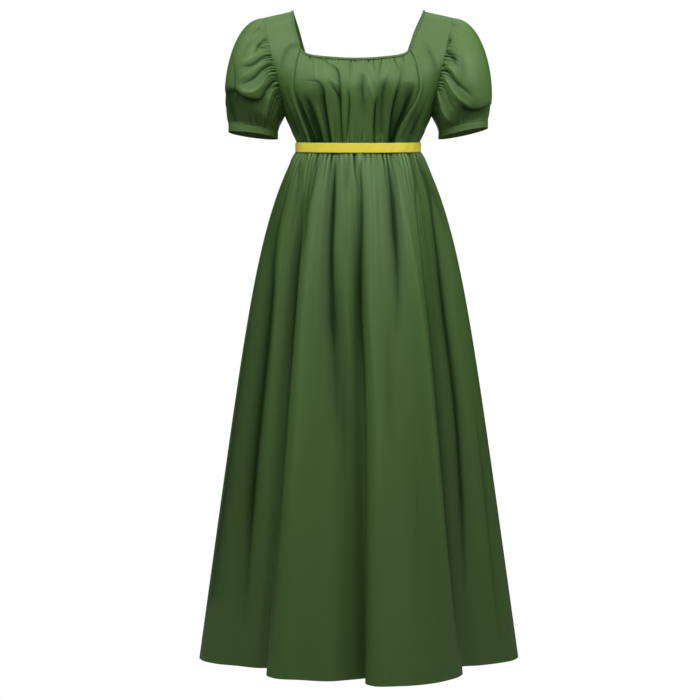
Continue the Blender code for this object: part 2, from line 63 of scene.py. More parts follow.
camera = bpy.data.cameras.new("camera")
camera.lens = LENS_MM
camera.sensor_width = SENSOR_MM
camera_object = bpy.data.objects.new("camera", camera)
camera_object.location = CAMERA_PLACE
camera_object.rotation_euler = (np.pi / 2, 0, 0)
bpy.context.scene.collection.objects.link(camera_object)
bpy.context.scene.camera = camera_object
print("camera at", CAMERA_PLACE, "lens", LENS_MM)

# %% [markdown]
# ## A white world
# A studio for clothes is white all round, but white walls would light every fold from all sides
# and flatten it, so black flags are stood beside a real set. Here a Light Path node does the
# same: what the camera sees directly is plain white, and the gown gets much less light from it.

# %% The world
SURROUND_LIGHT = 0.45


def white_to_camera(nodes, links, dim, bright):
    """A Mix Shader that shows one shader to the camera and another to the rest of the scene."""
    path = nodes.new("ShaderNodeLightPath")
    mix = nodes.new("ShaderNodeMixShader")
    links.new(path.outputs["Is Camera Ray"], mix.inputs[0])
    links.new(dim.outputs[0], mix.inputs[1])
    links.new(bright.outputs[0], mix.inputs[2])
    return mix


world = bpy.data.worlds.new("studio")
world.use_nodes = True
nodes, links = world.node_tree.nodes, world.node_tree.links
nodes.clear()
dim = nodes.new("ShaderNodeBackground")
flag = nodes.new("ShaderNodeMath")
flag.operation = "MULTIPLY"
flag.inputs[1].default_value = SURROUND_LIGHT
links.new(nodes.new("ShaderNodeLightPath").outputs["Is Diffuse Ray"], flag.inputs[0])
links.new(flag.outputs[0], dim.inputs["Strength"])
bright = nodes.new("ShaderNodeBackground")
for background in (dim, bright):
    background.inputs["Color"].default_value = (1, 1, 1, 1)
both = white_to_camera(nodes, links, dim, bright)
links.new(both.outputs[0], nodes.new("ShaderNodeOutputWorld").inputs["Surface"])
bpy.context.scene.world = world
bpy.context.scene.view_settings.view_transform = "Standard"
print("light from all round:", SURROUND_LIGHT)

# %% [markdown]
# ## Lamps
# Folds show only in light that comes from one side of them. The key lamp hangs above and in
# front of the shoulders. It is close, so its light falls off towards the hem, and high, so what
# faces down stays dark. A lamp to each side grazes the bodice and skirt, and a very small one
# stands by each sleeve. A low, weak fill keeps the skirt from going black. The last two lamps
# hang above and behind, for the shoulders and the back. Each is a row of a table, so that a
# loop can make them all.

# %% The lamps
Lamp = namedtuple("Lamp", "name place target width height watts")
LAMPS = [
    Lamp("key", (-0.20, -0.90, 1.05), (0.0, -0.1, -0.15), 0.8, 0.6, 11.5),
    Lamp("right side", (-0.85, -0.85, 0.55), (-0.2, 0.0, -0.10), 0.6, 0.6, 6.0),
    Lamp("left side", (0.85, -0.95, 0.50), (0.2, 0.0, -0.10), 0.6, 0.6, 6.0),
    Lamp("right sleeve", (-0.62, -0.28, 0.12), (-0.26, 0.0, -0.10), 0.25, 0.25, 0.5),
    Lamp("left sleeve", (0.62, -0.28, 0.05), (0.26, 0.0, -0.14), 0.25, 0.25, 1.1),
    Lamp("fill", (0.9, -2.6, -0.9), (0.0, 0.0, -1.00), 1.6, 1.6, 2.7),
    Lamp("top", (0.15, 0.55, 1.45), (0.0, 0.0, 0.0), 2.0, 0.8, 8.0),
    Lamp("back", (0.0, 3.0, 0.6), (0.0, 0.0, -0.50), 1.6, 1.6, 40.0),
]
for lamp in LAMPS:
    light = bpy.data.lights.new(lamp.name, "AREA")
    light.shape = "RECTANGLE"
    light.size = lamp.width
    light.size_y = lamp.height
    light.energy = lamp.watts
    light_object = bpy.data.objects.new(lamp.name, light)
    light_object.location = lamp.place
    towards = Vector(lamp.target) - Vector(lamp.place)
    light_object.rotation_euler = towards.to_track_quat("-Z", "Y").to_euler()
    bpy.context.scene.collection.objects.link(light_object)
print("lamps:", [(lamp.name, lamp.watts) for lamp in LAMPS])

# %% [markdown]
# ## Floor
# The gown is held up by its wearer, so nothing stands on the floor, and the floor lies a little
# below the hem. It is one wide, pale face. To the camera it glows as white as the world, so no
# horizon shows, and it throws only a little light up under the skirt.

# %% The floor
FLOOR_HEIGHT = -1.42
FLOOR_REACH = 30.0
FLOOR_BOUNCE = 0.30


def make_floor():
    mesh = bmesh.new()
    bmesh.ops.create_grid(mesh, x_segments=1, y_segments=1, size=FLOOR_REACH)
    bmesh.ops.translate(mesh, vec=(0, 0, FLOOR_HEIGHT), verts=mesh.verts[:])
    data = bpy.data.meshes.new("floor")
    mesh.to_mesh(data)
    mesh.free()
    finish = bpy.data.materials.new("floor_white")
    finish.use_nodes = True
    nodes, links = finish.node_tree.nodes, finish.node_tree.links
    nodes.clear()
    paint = nodes.new("ShaderNodeBsdfDiffuse")
    paint.inputs["Color"].default_value = (FLOOR_BOUNCE, FLOOR_BOUNCE, FLOOR_BOUNCE, 1)
    glow = nodes.new("ShaderNodeEmission")
    both = white_to_camera(nodes, links, paint, glow)
    links.new(both.outputs[0], nodes.new("ShaderNodeOutputMaterial").inputs["Surface"])
    data.materials.append(finish)
    floor = bpy.data.objects.new("floor", data)
    bpy.context.scene.collection.objects.link(floor)
    return floor


make_floor()
print("floor at", FLOOR_HEIGHT)

# %% [markdown]
# ## Weave
# The cloth is a fine plain weave: each weft thread passes over one warp thread and under the
# next. A tiled picture could show that, but two sine waves multiplied together give the same
# pattern of bumps at any size. They read the piece's own UV map, which is laid in metres over
# the cloth, so the threads follow the piece. A noise stretched along the weft makes some threads
# thicker and paler, as in any spun yarn. The group is built once, and each finish sets its own
# count and depth.

# %% The weave as a node group
WEAVE_MAP = "weave"
SLUBS_A_METRE = (22.0, 700.0, 1.0)  # a thick place in a thread is long and very narrow
SLUB_DETAIL = 2.0


def maths(tree, operation, first, second=None):
    """A Math node whose inputs are either sockets or numbers."""
    node = tree.nodes.new("ShaderNodeMath")
    node.operation = operation
    for socket, value in zip(node.inputs, (first, second)):
        if isinstance(value, bpy.types.NodeSocket):
            tree.links.new(value, socket)
        elif value is not None:
            socket.default_value = value
    return node.outputs[0]


def make_weave():
    tree = bpy.data.node_groups.new("plain_weave", "ShaderNodeTree")
    for name, kind in (("Place", "NodeSocketVector"), ("Threads", "NodeSocketFloat")):
        tree.interface.new_socket(name, in_out="INPUT", socket_type=kind)
    for name in ("Height", "Slub"):
        tree.interface.new_socket(name, in_out="OUTPUT", socket_type="NodeSocketFloat")
    given = tree.nodes.new("NodeGroupInput")
    result = tree.nodes.new("NodeGroupOutput")
    parts = tree.nodes.new("ShaderNodeSeparateXYZ")
    tree.links.new(given.outputs["Place"], parts.inputs[0])
    turns = maths(tree, "MULTIPLY", given.outputs["Threads"], np.pi)
    warp = maths(tree, "SINE", maths(tree, "MULTIPLY", parts.outputs["X"], turns))
    weft = maths(tree, "SINE", maths(tree, "MULTIPLY", parts.outputs["Y"], turns))
    tree.links.new(maths(tree, "MULTIPLY", warp, weft), result.inputs["Height"])
    stretch = tree.nodes.new("ShaderNodeVectorMath")
    stretch.operation = "MULTIPLY"
    stretch.inputs[1].default_value = SLUBS_A_METRE
    tree.links.new(given.outputs["Place"], stretch.inputs[0])
    slub = tree.nodes.new("ShaderNodeTexNoise")
    slub.inputs["Scale"].default_value = 1.0
    slub.inputs["Detail"].default_value = SLUB_DETAIL
    tree.links.new(stretch.outputs[0], slub.inputs["Vector"])
    tree.links.new(slub.outputs["Fac"], result.inputs["Slub"])
    return tree


weave = make_weave()
print("weave group outputs:", [item.name for item in weave.interface.items_tree])

# %% [markdown]
# ## Finishes
# The gown cloth is dyed one dark green, and its smooth threads give a broad, soft gloss. Shade
# falls inside a crease, where the cloth lies against itself, so painted shade darkens the colour
# there and fades the gloss, and crests get a painted highlight. Each piece therefore carries an
# attribute named crease: 0 on the palest crests, about a third on flat cloth and 1 in the darkest
# troughs. It mixes a painted-highlight colour with a painted-shade colour and fades a clear coat,
# which is what gives the gloss here. The ribbon is satin, with long floats of shiny yarn, so its
# threads are finer and the painted shade in its troughs is only a warmer yellow.

# %% Cloth and ribbon finishes
PAINTED_TONE_ATTRIBUTE = "crease"
# The power on the crease attribute: above 1 keeps painted shade out of the shallow troughs.
CREASE_CONTRAST = 1.2  # above 1 keeps the shallow troughs open
FIBRE_SPECULAR = 0.20
Finish = namedtuple("Finish", "open_colour deep_colour threads bump slub roughness gloss")
# Of each finish's two colours, the first is the cloth with a painted highlight, as on the palest crests,
# and the second the cloth with painted shade, as in the darkest troughs; flat cloth lies between them.
FINISHES = {
    "cloth": Finish((0.091, 0.188, 0.041), (0.009, 0.036, 0.003), 1900, 0.00006, 0.10, 0.52, 0.60),
    "ribbon": Finish((0.960, 0.850, 0.075), (0.500, 0.400, 0.025), 3200, 0.00002, 0.05, 0.46, 0.40),
}


def finish_named(name):
    """A woven finish: a Principled BSDF whose normal comes from the weave, and whose colour and coat carry
    painted shade and highlight from the crease attribute.
    """
    facts = FINISHES[name]
    finish = bpy.data.materials.new(name)
    finish.use_nodes = True
    tree = finish.node_tree
    shader = tree.nodes["Principled BSDF"]
    shader.inputs["Roughness"].default_value = facts.roughness
    shader.inputs["Specular IOR Level"].default_value = FIBRE_SPECULAR
    shader.inputs["Coat Roughness"].default_value = facts.roughness

    place = tree.nodes.new("ShaderNodeUVMap")
    place.uv_map = WEAVE_MAP
    threads = tree.nodes.new("ShaderNodeGroup")
    threads.node_tree = weave
    threads.inputs["Threads"].default_value = facts.threads
    tree.links.new(place.outputs["UV"], threads.inputs["Place"])

    bump = tree.nodes.new("ShaderNodeBump")
    bump.inputs["Distance"].default_value = facts.bump
    bump.inputs["Strength"].default_value = 1.0
    tree.links.new(threads.outputs["Height"], bump.inputs["Height"])
    tree.links.new(bump.outputs["Normal"], shader.inputs["Normal"])

    crease = tree.nodes.new("ShaderNodeAttribute")
    crease.attribute_name = PAINTED_TONE_ATTRIBUTE
    painted_shade_mix = tree.nodes.new("ShaderNodeMix")
    painted_shade_mix.data_type = "RGBA"
    painted_shade_mix.inputs["A"].default_value = (*facts.open_colour, 1)
    painted_shade_mix.inputs["B"].default_value = (*facts.deep_colour, 1)
    # Painted shade: the crease attribute mixes the cloth from its painted-highlight colour towards its
    # painted-shade colour.
    depth = maths(tree, "POWER", crease.outputs["Fac"], CREASE_CONTRAST)
    tree.links.new(depth, painted_shade_mix.inputs["Factor"])
    # Painted shade on the gloss too: the clear coat fades in the troughs.
    open_share = maths(tree, "SUBTRACT", 1.0, depth)
    tree.links.new(maths(tree, "MULTIPLY", open_share, facts.gloss), shader.inputs["Coat Weight"])
    yarn = tree.nodes.new("ShaderNodeHueSaturation")
    thick = maths(tree, "MULTIPLY", threads.outputs["Slub"], facts.slub)
    tree.links.new(maths(tree, "ADD", thick, 1 - facts.slub / 2), yarn.inputs["Value"])
    tree.links.new(painted_shade_mix.outputs["Result"], yarn.inputs["Color"])
    tree.links.new(yarn.outputs["Color"], shader.inputs["Base Color"])
    return finish


finishes = {name: finish_named(name) for name in FINISHES}
print("finishes:", sorted(finishes))

# %% [markdown]
# ## Tables read as smooth functions
# The outline of a gown could be drawn as curve objects. Here it is kept as short tables of sizes
# instead, with a row wherever the shape changes, and a smooth function is read from any column.
# A row can then be understood and changed on its own, and every piece reads the same shape.

# %% Reading tables as smooth functions


def through(places, values):
    """A smooth function through the values at these places, held flat past both ends."""
    places, values = np.array(places, float), np.array(values, float)
    slopes = np.gradient(values, places)

    def read(at):
        at = np.clip(at, places[0], places[-1])
        i = np.clip(np.searchsorted(places, at) - 1, 0, len(places) - 2)
        span = places[i + 1] - places[i]
        t = (at - places[i]) / span
        ahead = t * t * (3 - 2 * t)
        leaving, arriving = t * (1 - t) ** 2, t * t * (t - 1)
        bends = span * (leaving * slopes[i] + arriving * slopes[i + 1])
        return values[i] * (1 - ahead) + values[i + 1] * ahead + bends

    return read


def column(rows, name, by):
    """One named column of a table, as a smooth function of another column."""
    return through([getattr(row, by) for row in rows], [getattr(row, name) for row in rows])


def smoothstep(low, high, at):
    t = np.clip((at - low) / (high - low), 0, 1)
    return t * t * (3 - 2 * t)


print("halfway up a smooth step:", smoothstep(0, 1, 0.5))

# %% [markdown]
# ## The dress form
# A dressmaker drapes a gown on a form, and so does this lesson. The form is a stack of rounded
# sections: each row of the table gives a drop below the shoulders, half the width there and the
# depth to the front and to the back. Two soft cups are added at the front. Any point of the form
# is then known from two numbers: an angle round the body and a drop. These are the packed
# solids' own sizes, so what is laid on this form lands where they are.

# %% The form's sizes
FRONT, BACK = "front", "back"
RIGHT, LEFT = "right", "left"
SIDE = {RIGHT: -1, LEFT: 1}
FACING = {FRONT: -1, BACK: 1}

WAIST_DROP = 0.280
WAIST_DIP = 0.012
UNDERARM_DROP = 0.212
SQUARENESS = 2.3
SHOULDER_ROUNDING = 0.030
SHOULDER_SLOPE = 0.22
SHOULDER_SLOPE_ENDS = 0.12
STRAP_TOP_X = 0.1335
CUP_FULLNESS = 0.010
CUP_PLACE = {"x": 0.070, "drop": 0.160}
CUP_SPREAD = {"x": 0.036, "drop": 0.040}

Section = namedtuple("Section", "drop half_width front back")
FORM = [
    Section(0.000, 0.262, 0.042, 0.042),
    Section(0.030, 0.251, 0.047, 0.048),
    Section(0.055, 0.242, 0.060, 0.063),
    Section(0.080, 0.228, 0.075, 0.075),
    Section(0.105, 0.210, 0.091, 0.084),
    Section(0.135, 0.189, 0.108, 0.090),
    Section(0.165, 0.171, 0.118, 0.093),
    Section(0.190, 0.159, 0.118, 0.093),
    Section(UNDERARM_DROP, 0.1515, 0.113, 0.091),
    Section(0.225, 0.1460, 0.109, 0.089),
    Section(0.240, 0.1390, 0.104, 0.087),
    Section(0.255, 0.1330, 0.099, 0.085),
    Section(0.2635, 0.1284, 0.096, 0.0842),
    Section(0.2685, 0.1266, 0.094, 0.0832),
    Section(WAIST_DROP, 0.1262, 0.093, 0.083),
    Section(0.310, 0.1262, 0.093, 0.083),
]
form_half_width = column(FORM, "half_width", "drop")
form_depth = {face: column(FORM, face, "drop") for face in FACING}
print("half the form's width at the waist:", round(float(form_half_width(WAIST_DROP)), 4))

# %% [markdown]
# ## Points and directions on the form
# Each section is a superellipse, an ellipse with slightly squarer corners, as a ribcage has. A
# normal tells which way is out of the gown at a point. It comes from two short steps over the
# surface, one sideways and one down, so the same function serves every surface in this lesson.

# %% The form itself
NORMAL_STEP = 2e-4
TINY = 1e-12


def waist_stretch(theta):
    """Below the underarm the sections spread by this much, to follow the waist seam's dip."""
    return 1 + WAIST_DIP * np.cos(theta) / (WAIST_DROP - UNDERARM_DROP)


def form_point(theta, drop):
    """A point on the form. Theta is 0 at centre front and a quarter turn at the wearer's left."""
    sine, cosine = np.sin(theta), np.cos(theta)
    power = 2 / SQUARENESS
    x = form_half_width(drop) * np.sign(sine) * np.abs(sine) ** power
    rounding = np.sqrt(1 - (1 - np.clip(drop / SHOULDER_ROUNDING, 0, 1)) ** 2)
    depth = rounding * np.where(cosine > 0, form_depth[FRONT](drop), form_depth[BACK](drop))
    sideways = (np.abs(x) - CUP_PLACE["x"]) / CUP_SPREAD["x"]
    upwards = (drop - CUP_PLACE["drop"]) / CUP_SPREAD["drop"]
    cup = np.where(cosine > 0, CUP_FULLNESS * np.exp(-(sideways**2) - upwards**2), 0)
    y = -depth * np.sign(cosine) * np.abs(cosine) ** power - cup
    sloping = (1 - smoothstep(0, SHOULDER_SLOPE_ENDS, drop)) * SHOULDER_SLOPE
    spreading = np.maximum(drop - UNDERARM_DROP, 0) * (waist_stretch(theta) - 1)
    z = -drop - sloping * (np.abs(x) - STRAP_TOP_X) - spreading
    return np.stack([x, y, z], axis=-1)


def theta_at(x, drop, face):
    """The form's angle where it is x metres to the left of the middle."""
    share = np.clip(np.abs(x) / form_half_width(drop), 0, 1)
    angle = np.sign(x) * np.arcsin(share ** (SQUARENESS / 2))
    return angle if face == FRONT else np.pi - angle


def normals_of(surface, across, down):
    """Unit normals of a surface, pointing out of the gown."""
    sideways = surface(across + NORMAL_STEP, down) - surface(across - NORMAL_STEP, down)
    lengthways = surface(across, down + NORMAL_STEP) - surface(across, down - NORMAL_STEP)
    normal = np.cross(lengthways, sideways)
    return normal / np.maximum(np.linalg.norm(normal, axis=-1, keepdims=True), TINY)


print("centre front at the waist:", np.round(form_point(np.array(0.0), np.array(WAIST_DROP)), 4))

# %% [markdown]
# ## Creases
# Thin cloth that is held at a seam and hangs free below it makes troughs and ridges. No two are
# alike, so each is listed on its own: a name, then a short line of points over the gown, each with
# its drop, its distance to the left of the middle and its depth there. A depth below zero is a
# ridge. A crease also has a width to each side, named as by someone who walks along its line. A
# narrow side makes a crisp pleat edge, and a wide one lets the cloth roll softly into the shade.
# A cloth simulation could make creases too, but it would choose their places itself, and this
# gown is known by where its creases lie. The relief of a piece is the sum of its creases, and
# moves its points along the normals of the smooth form beneath.

# %% Creases placed one by one
Crease = namedtuple("Crease", "name right_width left_width points")
CREASE_ROUNDNESS = 1.12  # 2 is a smooth trough and 1 a sharp one
CREASE_REACH = 3.2  # how many widths away a crease still moves the cloth
STEPS_A_SPAN = 5  # straight steps between two of a line's points


def crease_steps(crease):
    """A crease's line as short straight steps: rows of x, drop and depth."""
    points = np.array([(x, drop, depth) for drop, x, depth in crease.points])
    along = np.concatenate([[0], np.cumsum(np.hypot(*np.diff(points[:, :2], axis=0).T))])
    spans = len(points) - 1
    at = np.interp(np.linspace(0, spans, STEPS_A_SPAN * spans + 1), range(len(points)), along)
    smooth = [through(along, points[:, i])(at) for i in (0, 1)]
    return np.stack([*smooth, np.interp(at, along, points[:, 2])], axis=-1)


def crease_depth(at, crease):
    """How deep one crease is at each of these points, given as x and drop."""
    steps = crease_steps(crease)
    nearest, side, depth = (np.full(len(at), value) for value in (np.inf, 0.0, 0.0))
    for first, last in zip(steps[:-1], steps[1:]):
        step = (last - first)[:2]
        share = np.clip((at - first[:2]) @ step / (step @ step), 0, 1)
        off = at - first[:2] - share[:, None] * step
        away = np.hypot(*off.T)
        closer = away < nearest
        nearest = np.where(closer, away, nearest)
        side = np.where(closer, step[1] * off[:, 0] - step[0] * off[:, 1], side)
        depth = np.where(closer, first[2] + share * (last[2] - first[2]), depth)
    width = np.where(side < 0, crease.right_width, crease.left_width)
    return depth * np.exp(-((nearest / width) ** CREASE_ROUNDNESS))


def crease_relief(place, creases):
    """How far a set of creases moves cloth that lies at these places."""
    at = np.stack([place[..., 0], -place[..., 2]], axis=-1)
    relief = np.zeros(len(at))
    for crease in creases:
        reach = CREASE_REACH * max(crease.right_width, crease.left_width)
        line = np.array([(x, drop) for drop, x, depth in crease.points])
        near = np.all((at > line.min(axis=0) - reach) & (at < line.max(axis=0) + reach), axis=1)
        relief[near] -= crease_depth(at[near], crease)
    return relief


def mirrored(creases, shift, size):
    """Similar creases on the other side of the middle, moved sideways and made deeper or shallower."""
    flipped = []
    for crease in creases:
        points = [(drop, shift - x, depth * size) for drop, x, depth in crease.points]
        flipped.append(Crease(crease.name, crease.left_width, crease.right_width, points))
    return flipped


trial = [Crease("trial", 0.01, 0.01, [(0.3, 0.0, 0.004), (0.5, 0.0, 0.004)])]
print("relief in the middle of a 4 mm trough:", crease_relief(np.array([[0.0, 0.0, -0.4]]), trial))

# %% [markdown]
# ## Laying cloth
# Each piece starts as a flat grid, as cloth starts flat, and every point of the grid is moved to
# its place on the gown. The grid's two directions are the weft and the warp, and the UV map keeps
# each point's distance along them in metres. The crease attribute keeps a painted tone: a painted
# highlight on crests, which stand free in the light, and painted shade in troughs, where the cloth
# beside them closes them in. Folds narrower than a pencil need that painted shade, as a lamp can't
# reach into them.

# %% Laying a grid of cloth on a surface
EDGE_ROLL = 0.0012  # a last narrow row, so that an edge turns over tightly
CLEAR_OF_ROLL = 1.5  # how many rolls away the next row may lie
# The painted tone of the crease attribute: painted shade in troughs and a painted highlight on crests.
DEEP = 0.006  # a trough this deep is as dark as creases get
HIGH = 0.004  # a crest this high is as pale as crests get
FLAT_TONE = 0.35  # from 0 on the palest crest to 1 in the darkest trough


def even(count):
    return np.linspace(0, 1, count + 1)


def hugging(shares, length):
    """Adds a narrow row beside both ends of a list of shares of this length."""
    roll = EDGE_ROLL / length
    nearest = roll * CLEAR_OF_ROLL
    inner = [share for share in shares[1:-1] if nearest < share < 1 - nearest]
    return np.array([0, roll, *inner, 1 - roll, 1])


def set_on_points(data, name, values):
    layer = data.attributes.new(name, "FLOAT", "POINT")
    layer.data.foreach_set("value", np.clip(values, 0, 1).astype(np.float32))


def laid_grid(name, surface, columns, rows, size):
    """A mesh made from a grid. The surface gives each point's place and its depth in a trough, which
    becomes painted shade, or a painted highlight where it is below zero.
    """
    last = np.array([len(columns) - 1, len(rows) - 1])
    mesh = bmesh.new()
    bmesh.ops.create_grid(mesh, x_segments=last[0], y_segments=last[1], size=1)
    data = bpy.data.meshes.new(name)
    mesh.to_mesh(data)
    mesh.free()
    corners = np.zeros(len(data.vertices) * 3, np.float32)
    data.vertices.foreach_get("co", corners)
    corners = corners.reshape(-1, 3)
    i = np.rint((1 + corners[:, 0]) / 2 * last[0]).astype(int)
    j = np.rint((1 - corners[:, 1]) / 2 * last[1]).astype(int)
    across, down = np.asarray(columns, float)[i], np.asarray(rows, float)[j]
    places, troughs = surface(across, down)
    data.vertices.foreach_set("co", places.astype(np.float32).ravel())
    # Painted tone: painted shade in troughs, up to DEEP, and a painted highlight on crests, up to HIGH.
    tone = np.where(troughs > 0, (1 - FLAT_TONE) * troughs / DEEP, FLAT_TONE * troughs / HIGH)
    set_on_points(data, PAINTED_TONE_ATTRIBUTE, FLAT_TONE + tone)
    warp = (down - rows[0]) / (rows[-1] - rows[0])
    thread = np.stack([across * size[0], warp * size[1]], axis=-1)
    corner_points = np.zeros(len(data.loops), np.int32)
    data.loops.foreach_get("vertex_index", corner_points)
    weave_map = data.uv_layers.new(name=WEAVE_MAP)
    weave_map.data.foreach_set("uv", thread[corner_points].astype(np.float32).ravel())
    return data


print("a hugged list of four shares:", np.round(hugging(even(4), 0.1), 3))

# %% [markdown]
# ## Sewing and hanging
# Real panels are joined by seams. Grids that belong to one piece of cloth are merged where their
# edges meet. A Solidify modifier then gives the sheet its two sides and its thickness. The shell
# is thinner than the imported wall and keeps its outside. Each piece then stands for its solid and
# rides on the gown's one body.

# %% Sewing grids into a piece
CLOTH = 0.0018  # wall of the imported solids
SHELL = 0.0010  # thickness of the finer cloth
LIFT = CLOTH - SHELL  # the finer cloth keeps the outside of the solids' wall
STITCH = 2e-5  # points of two grids this close are one
OUTWARDS, INWARDS = 1, -1  # the side to which a wall grows


def sew(node, meshes, finish, wall, grows):
    """Joins grids that share an edge into one piece of cloth, gives it a wall and hangs it up."""
    whole = bmesh.new()
    for data in meshes:
        whole.from_mesh(data)
        bpy.data.meshes.remove(data)
    bmesh.ops.remove_doubles(whole, verts=whole.verts[:], dist=STITCH)
    data = bpy.data.meshes.new(node)
    whole.to_mesh(data)
    area = sum(face.calc_area() for face in whole.faces)
    whole.free()
    data.shade_smooth()
    data.materials.append(finishes[finish])
    piece = bpy.data.objects.new(f"{node}_cloth", data)
    bpy.context.scene.collection.objects.link(piece)
    solidify = piece.modifiers.new("wall", "SOLIDIFY")
    solidify.thickness = wall
    solidify.offset = grows
    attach(piece, "root")
    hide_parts(node)
    print(f"{piece.name}: {area:.4f} square metres, {len(data.polygons) * 4} triangles")


print("cloth shells are", SHELL * 1000, "mm thick")

# %% [markdown]
# ## Cloth at its seams
# A crease can't move cloth that a seam holds, so relief fades out towards the seams. Two panels
# that meet at a seam face slightly different ways there, and moving each along its own normal
# would open a hairline between them. They are turned to face one common way instead: sideways
# at the skirt's side seams and upwards at the shoulder seams.

# %% Relief on a base surface
SIDEWAYS = np.array([1.0, 0.0, 0.0])
UPWARDS = np.array([0.0, 0.0, 1.0])
SIDE_SEAM_HOLD = 0.02  # share of a skirt panel's width that its seam holds
SHOULDER_SEAM_HOLD = 0.012  # drop over which the shoulder seam holds


def between_seams(share, margin):
    """0 where the cloth is held by seams, at shares 0 and 1, and 1 in between."""
    return smoothstep(0, margin, share) * smoothstep(0, margin, 1 - share)


def at_side_seam(across, down, place):
    """How free of the side seams the cloth is, and the way that both its neighbours face there."""
    return between_seams(across, SIDE_SEAM_HOLD), np.sign(place[..., :1]) * SIDEWAYS


def at_shoulder_seam(across, down, place):
    """The same at the shoulder seam, where down is the drop."""
    return smoothstep(0, SHOULDER_SEAM_HOLD, down), np.broadcast_to(UPWARDS, place.shape)


def relieved(base, relief, lift=0.0, meeting=None):
    """A surface for laid_grid: the base moved out by a lift and by a relief along its normals."""

    def surface(across, down):
        place = base(across, down)
        height, trough = relief(across, down, place)
        outward = normals_of(base, across, down)
        if meeting:
            free, together = meeting(across, down, place)
            outward = outward * free[..., None] + together * (1 - free[..., None])
        return place + outward * (height + lift)[..., None], trough

    return surface


print("held at a seam:", between_seams(0.0, SIDE_SEAM_HOLD), "free:", between_seams(0.5, SIDE_SEAM_HOLD))

# %% [markdown]
# ## Puckers
# Where a running thread draws the cloth up, dozens of small gathers stand side by side, close
# but never evenly spaced. A sine wave gives the row of them. Two slower waves sway its spacing
# and a third its strength. Raising the trough side to a power pinches the troughs, which are
# narrower than the crests in real gathers. A trim presses the gathers flat, and they spring up
# again just beside it.

# %% Small gathers beside a trim
GATHER_SPRING = 0.008  # how far from a seam the larger gathers reach their height
PUCKER_SPRING = 0.005  # small gathers spring up faster
PINCH = 2.2  # 1 makes troughs as wide as crests, and more makes them narrower
# Painted shade and highlight: small gathers get this much more painted shade in their troughs and painted
# highlight on their crests than their depth alone gives.
PUCKER_SHADE = 1.2  # a small gather is this much darker than a wide fold of its depth
Sway = namedtuple("Sway", "reach pace start")
SPACING_SWAYS = [Sway(1.3, 0.31, 0), Sway(0.9, 0.17, 2)]
STRENGTH_SWAY = Sway(0.4, 0.23, 1)
MEAN_STRENGTH = 0.6


def clear_of_trim(distance):
    """0 where a trim presses the gathers flat, and 1 where they have sprung up beside it."""
    return smoothstep(0, GATHER_SPRING, distance)


def swaying(turns, sway):
    return sway.reach * np.sin(turns * sway.pace + sway.start)


def puckers(at, count, fade):
    """Small uneven gathers side by side: at runs from 0 to 1 along the trim that holds them."""
    turns = 2 * np.pi * count * at
    uneven = np.sin(turns + sum(swaying(turns, sway) for sway in SPACING_SWAYS))
    pinched = 1 - 2 * ((1 - uneven) / 2) ** PINCH
    return pinched * (MEAN_STRENGTH + swaying(turns, STRENGTH_SWAY)) * fade


print("first of ten puckers:", np.round(puckers(np.linspace(0, 0.1, 5), 10, 1), 2))

# %% [markdown]
# ## Seam lines of the bodice
# The bodice front lies between two princess seams, which come down from the corners of the
# square neck. The panels share their seam lines, so the tables of those lines come first: how
# far each seam and the armhole lie from the middle at each drop. The two sides of the real gown
# aren't quite alike, so right and left have columns of their own.

# %% Seam lines of the bodice
NECK_DROP = {FRONT: 0.112, BACK: 0.098}
NECK_CORNER_DROP = 0.084
NECK_CURVE = 0.014
NECK_CORNER_POWER = 9

PanelEdge = namedtuple("PanelEdge", "drop front_right front_left back_right back_left")
INNER_EDGE = [
    PanelEdge(0.000, STRAP_TOP_X, STRAP_TOP_X, STRAP_TOP_X, STRAP_TOP_X),
    PanelEdge(0.028, 0.1305, 0.1250, 0.1240, 0.1200),
    PanelEdge(0.055, 0.1250, 0.1140, 0.1165, 0.1100),
    PanelEdge(NECK_CORNER_DROP, 0.1190, 0.1060, 0.1085, 0.1010),
    PanelEdge(0.105, 0.1275, 0.1170, 0.1070, 0.1010),
    PanelEdge(0.140, 0.1335, 0.1255, 0.1050, 0.1020),
    PanelEdge(0.173, 0.1350, 0.1270, 0.1030, 0.1030),
    PanelEdge(0.205, 0.1275, 0.1150, 0.1000, 0.1000),
    PanelEdge(0.235, 0.1155, 0.0940, 0.0950, 0.0950),
    PanelEdge(0.262, 0.1035, 0.0790, 0.0900, 0.0900),
    PanelEdge(0.300, 0.0930, 0.0730, 0.0840, 0.0840),
]
ArmholePoint = namedtuple("ArmholePoint", "drop x")
ARMHOLE = [
    ArmholePoint(0.000, 0.1960),
    ArmholePoint(0.044, 0.1860),
    ArmholePoint(0.085, 0.1790),
    ArmholePoint(0.117, 0.1725),
    ArmholePoint(0.142, 0.1665),
    ArmholePoint(0.172, 0.1590),
    ArmholePoint(0.196, 0.1535),
    ArmholePoint(UNDERARM_DROP, 0.1515),
]
strap_edge_x = {
    (face, side): column(INNER_EDGE, f"{face}_{side}", "drop") for face in FACING for side in SIDE
}
armhole_x = column(ARMHOLE, "x", "drop")
print("neckline at centre front:", NECK_DROP[FRONT], "m below the shoulders")

# %% [markdown]
# ## Panels of the bodice
# Each panel is a function from two numbers to a point on the form, so its four edges lie exactly
# on the seam lines. The centre panels start at the neckline, which is a shallow curve that turns
# up tightly into the straps. A strap and the plain panel under it are one piece of cloth, from
# the shoulder to the waist.

# %% The shapes of the panels


def neck_drop(share, face):
    """The neckline from strap to strap: share runs from -1 to 1."""
    turning_up = NECK_DROP[face] - NECK_CURVE - NECK_CORNER_DROP
    return NECK_DROP[face] - NECK_CURVE * share**2 - turning_up * np.abs(share) ** NECK_CORNER_POWER


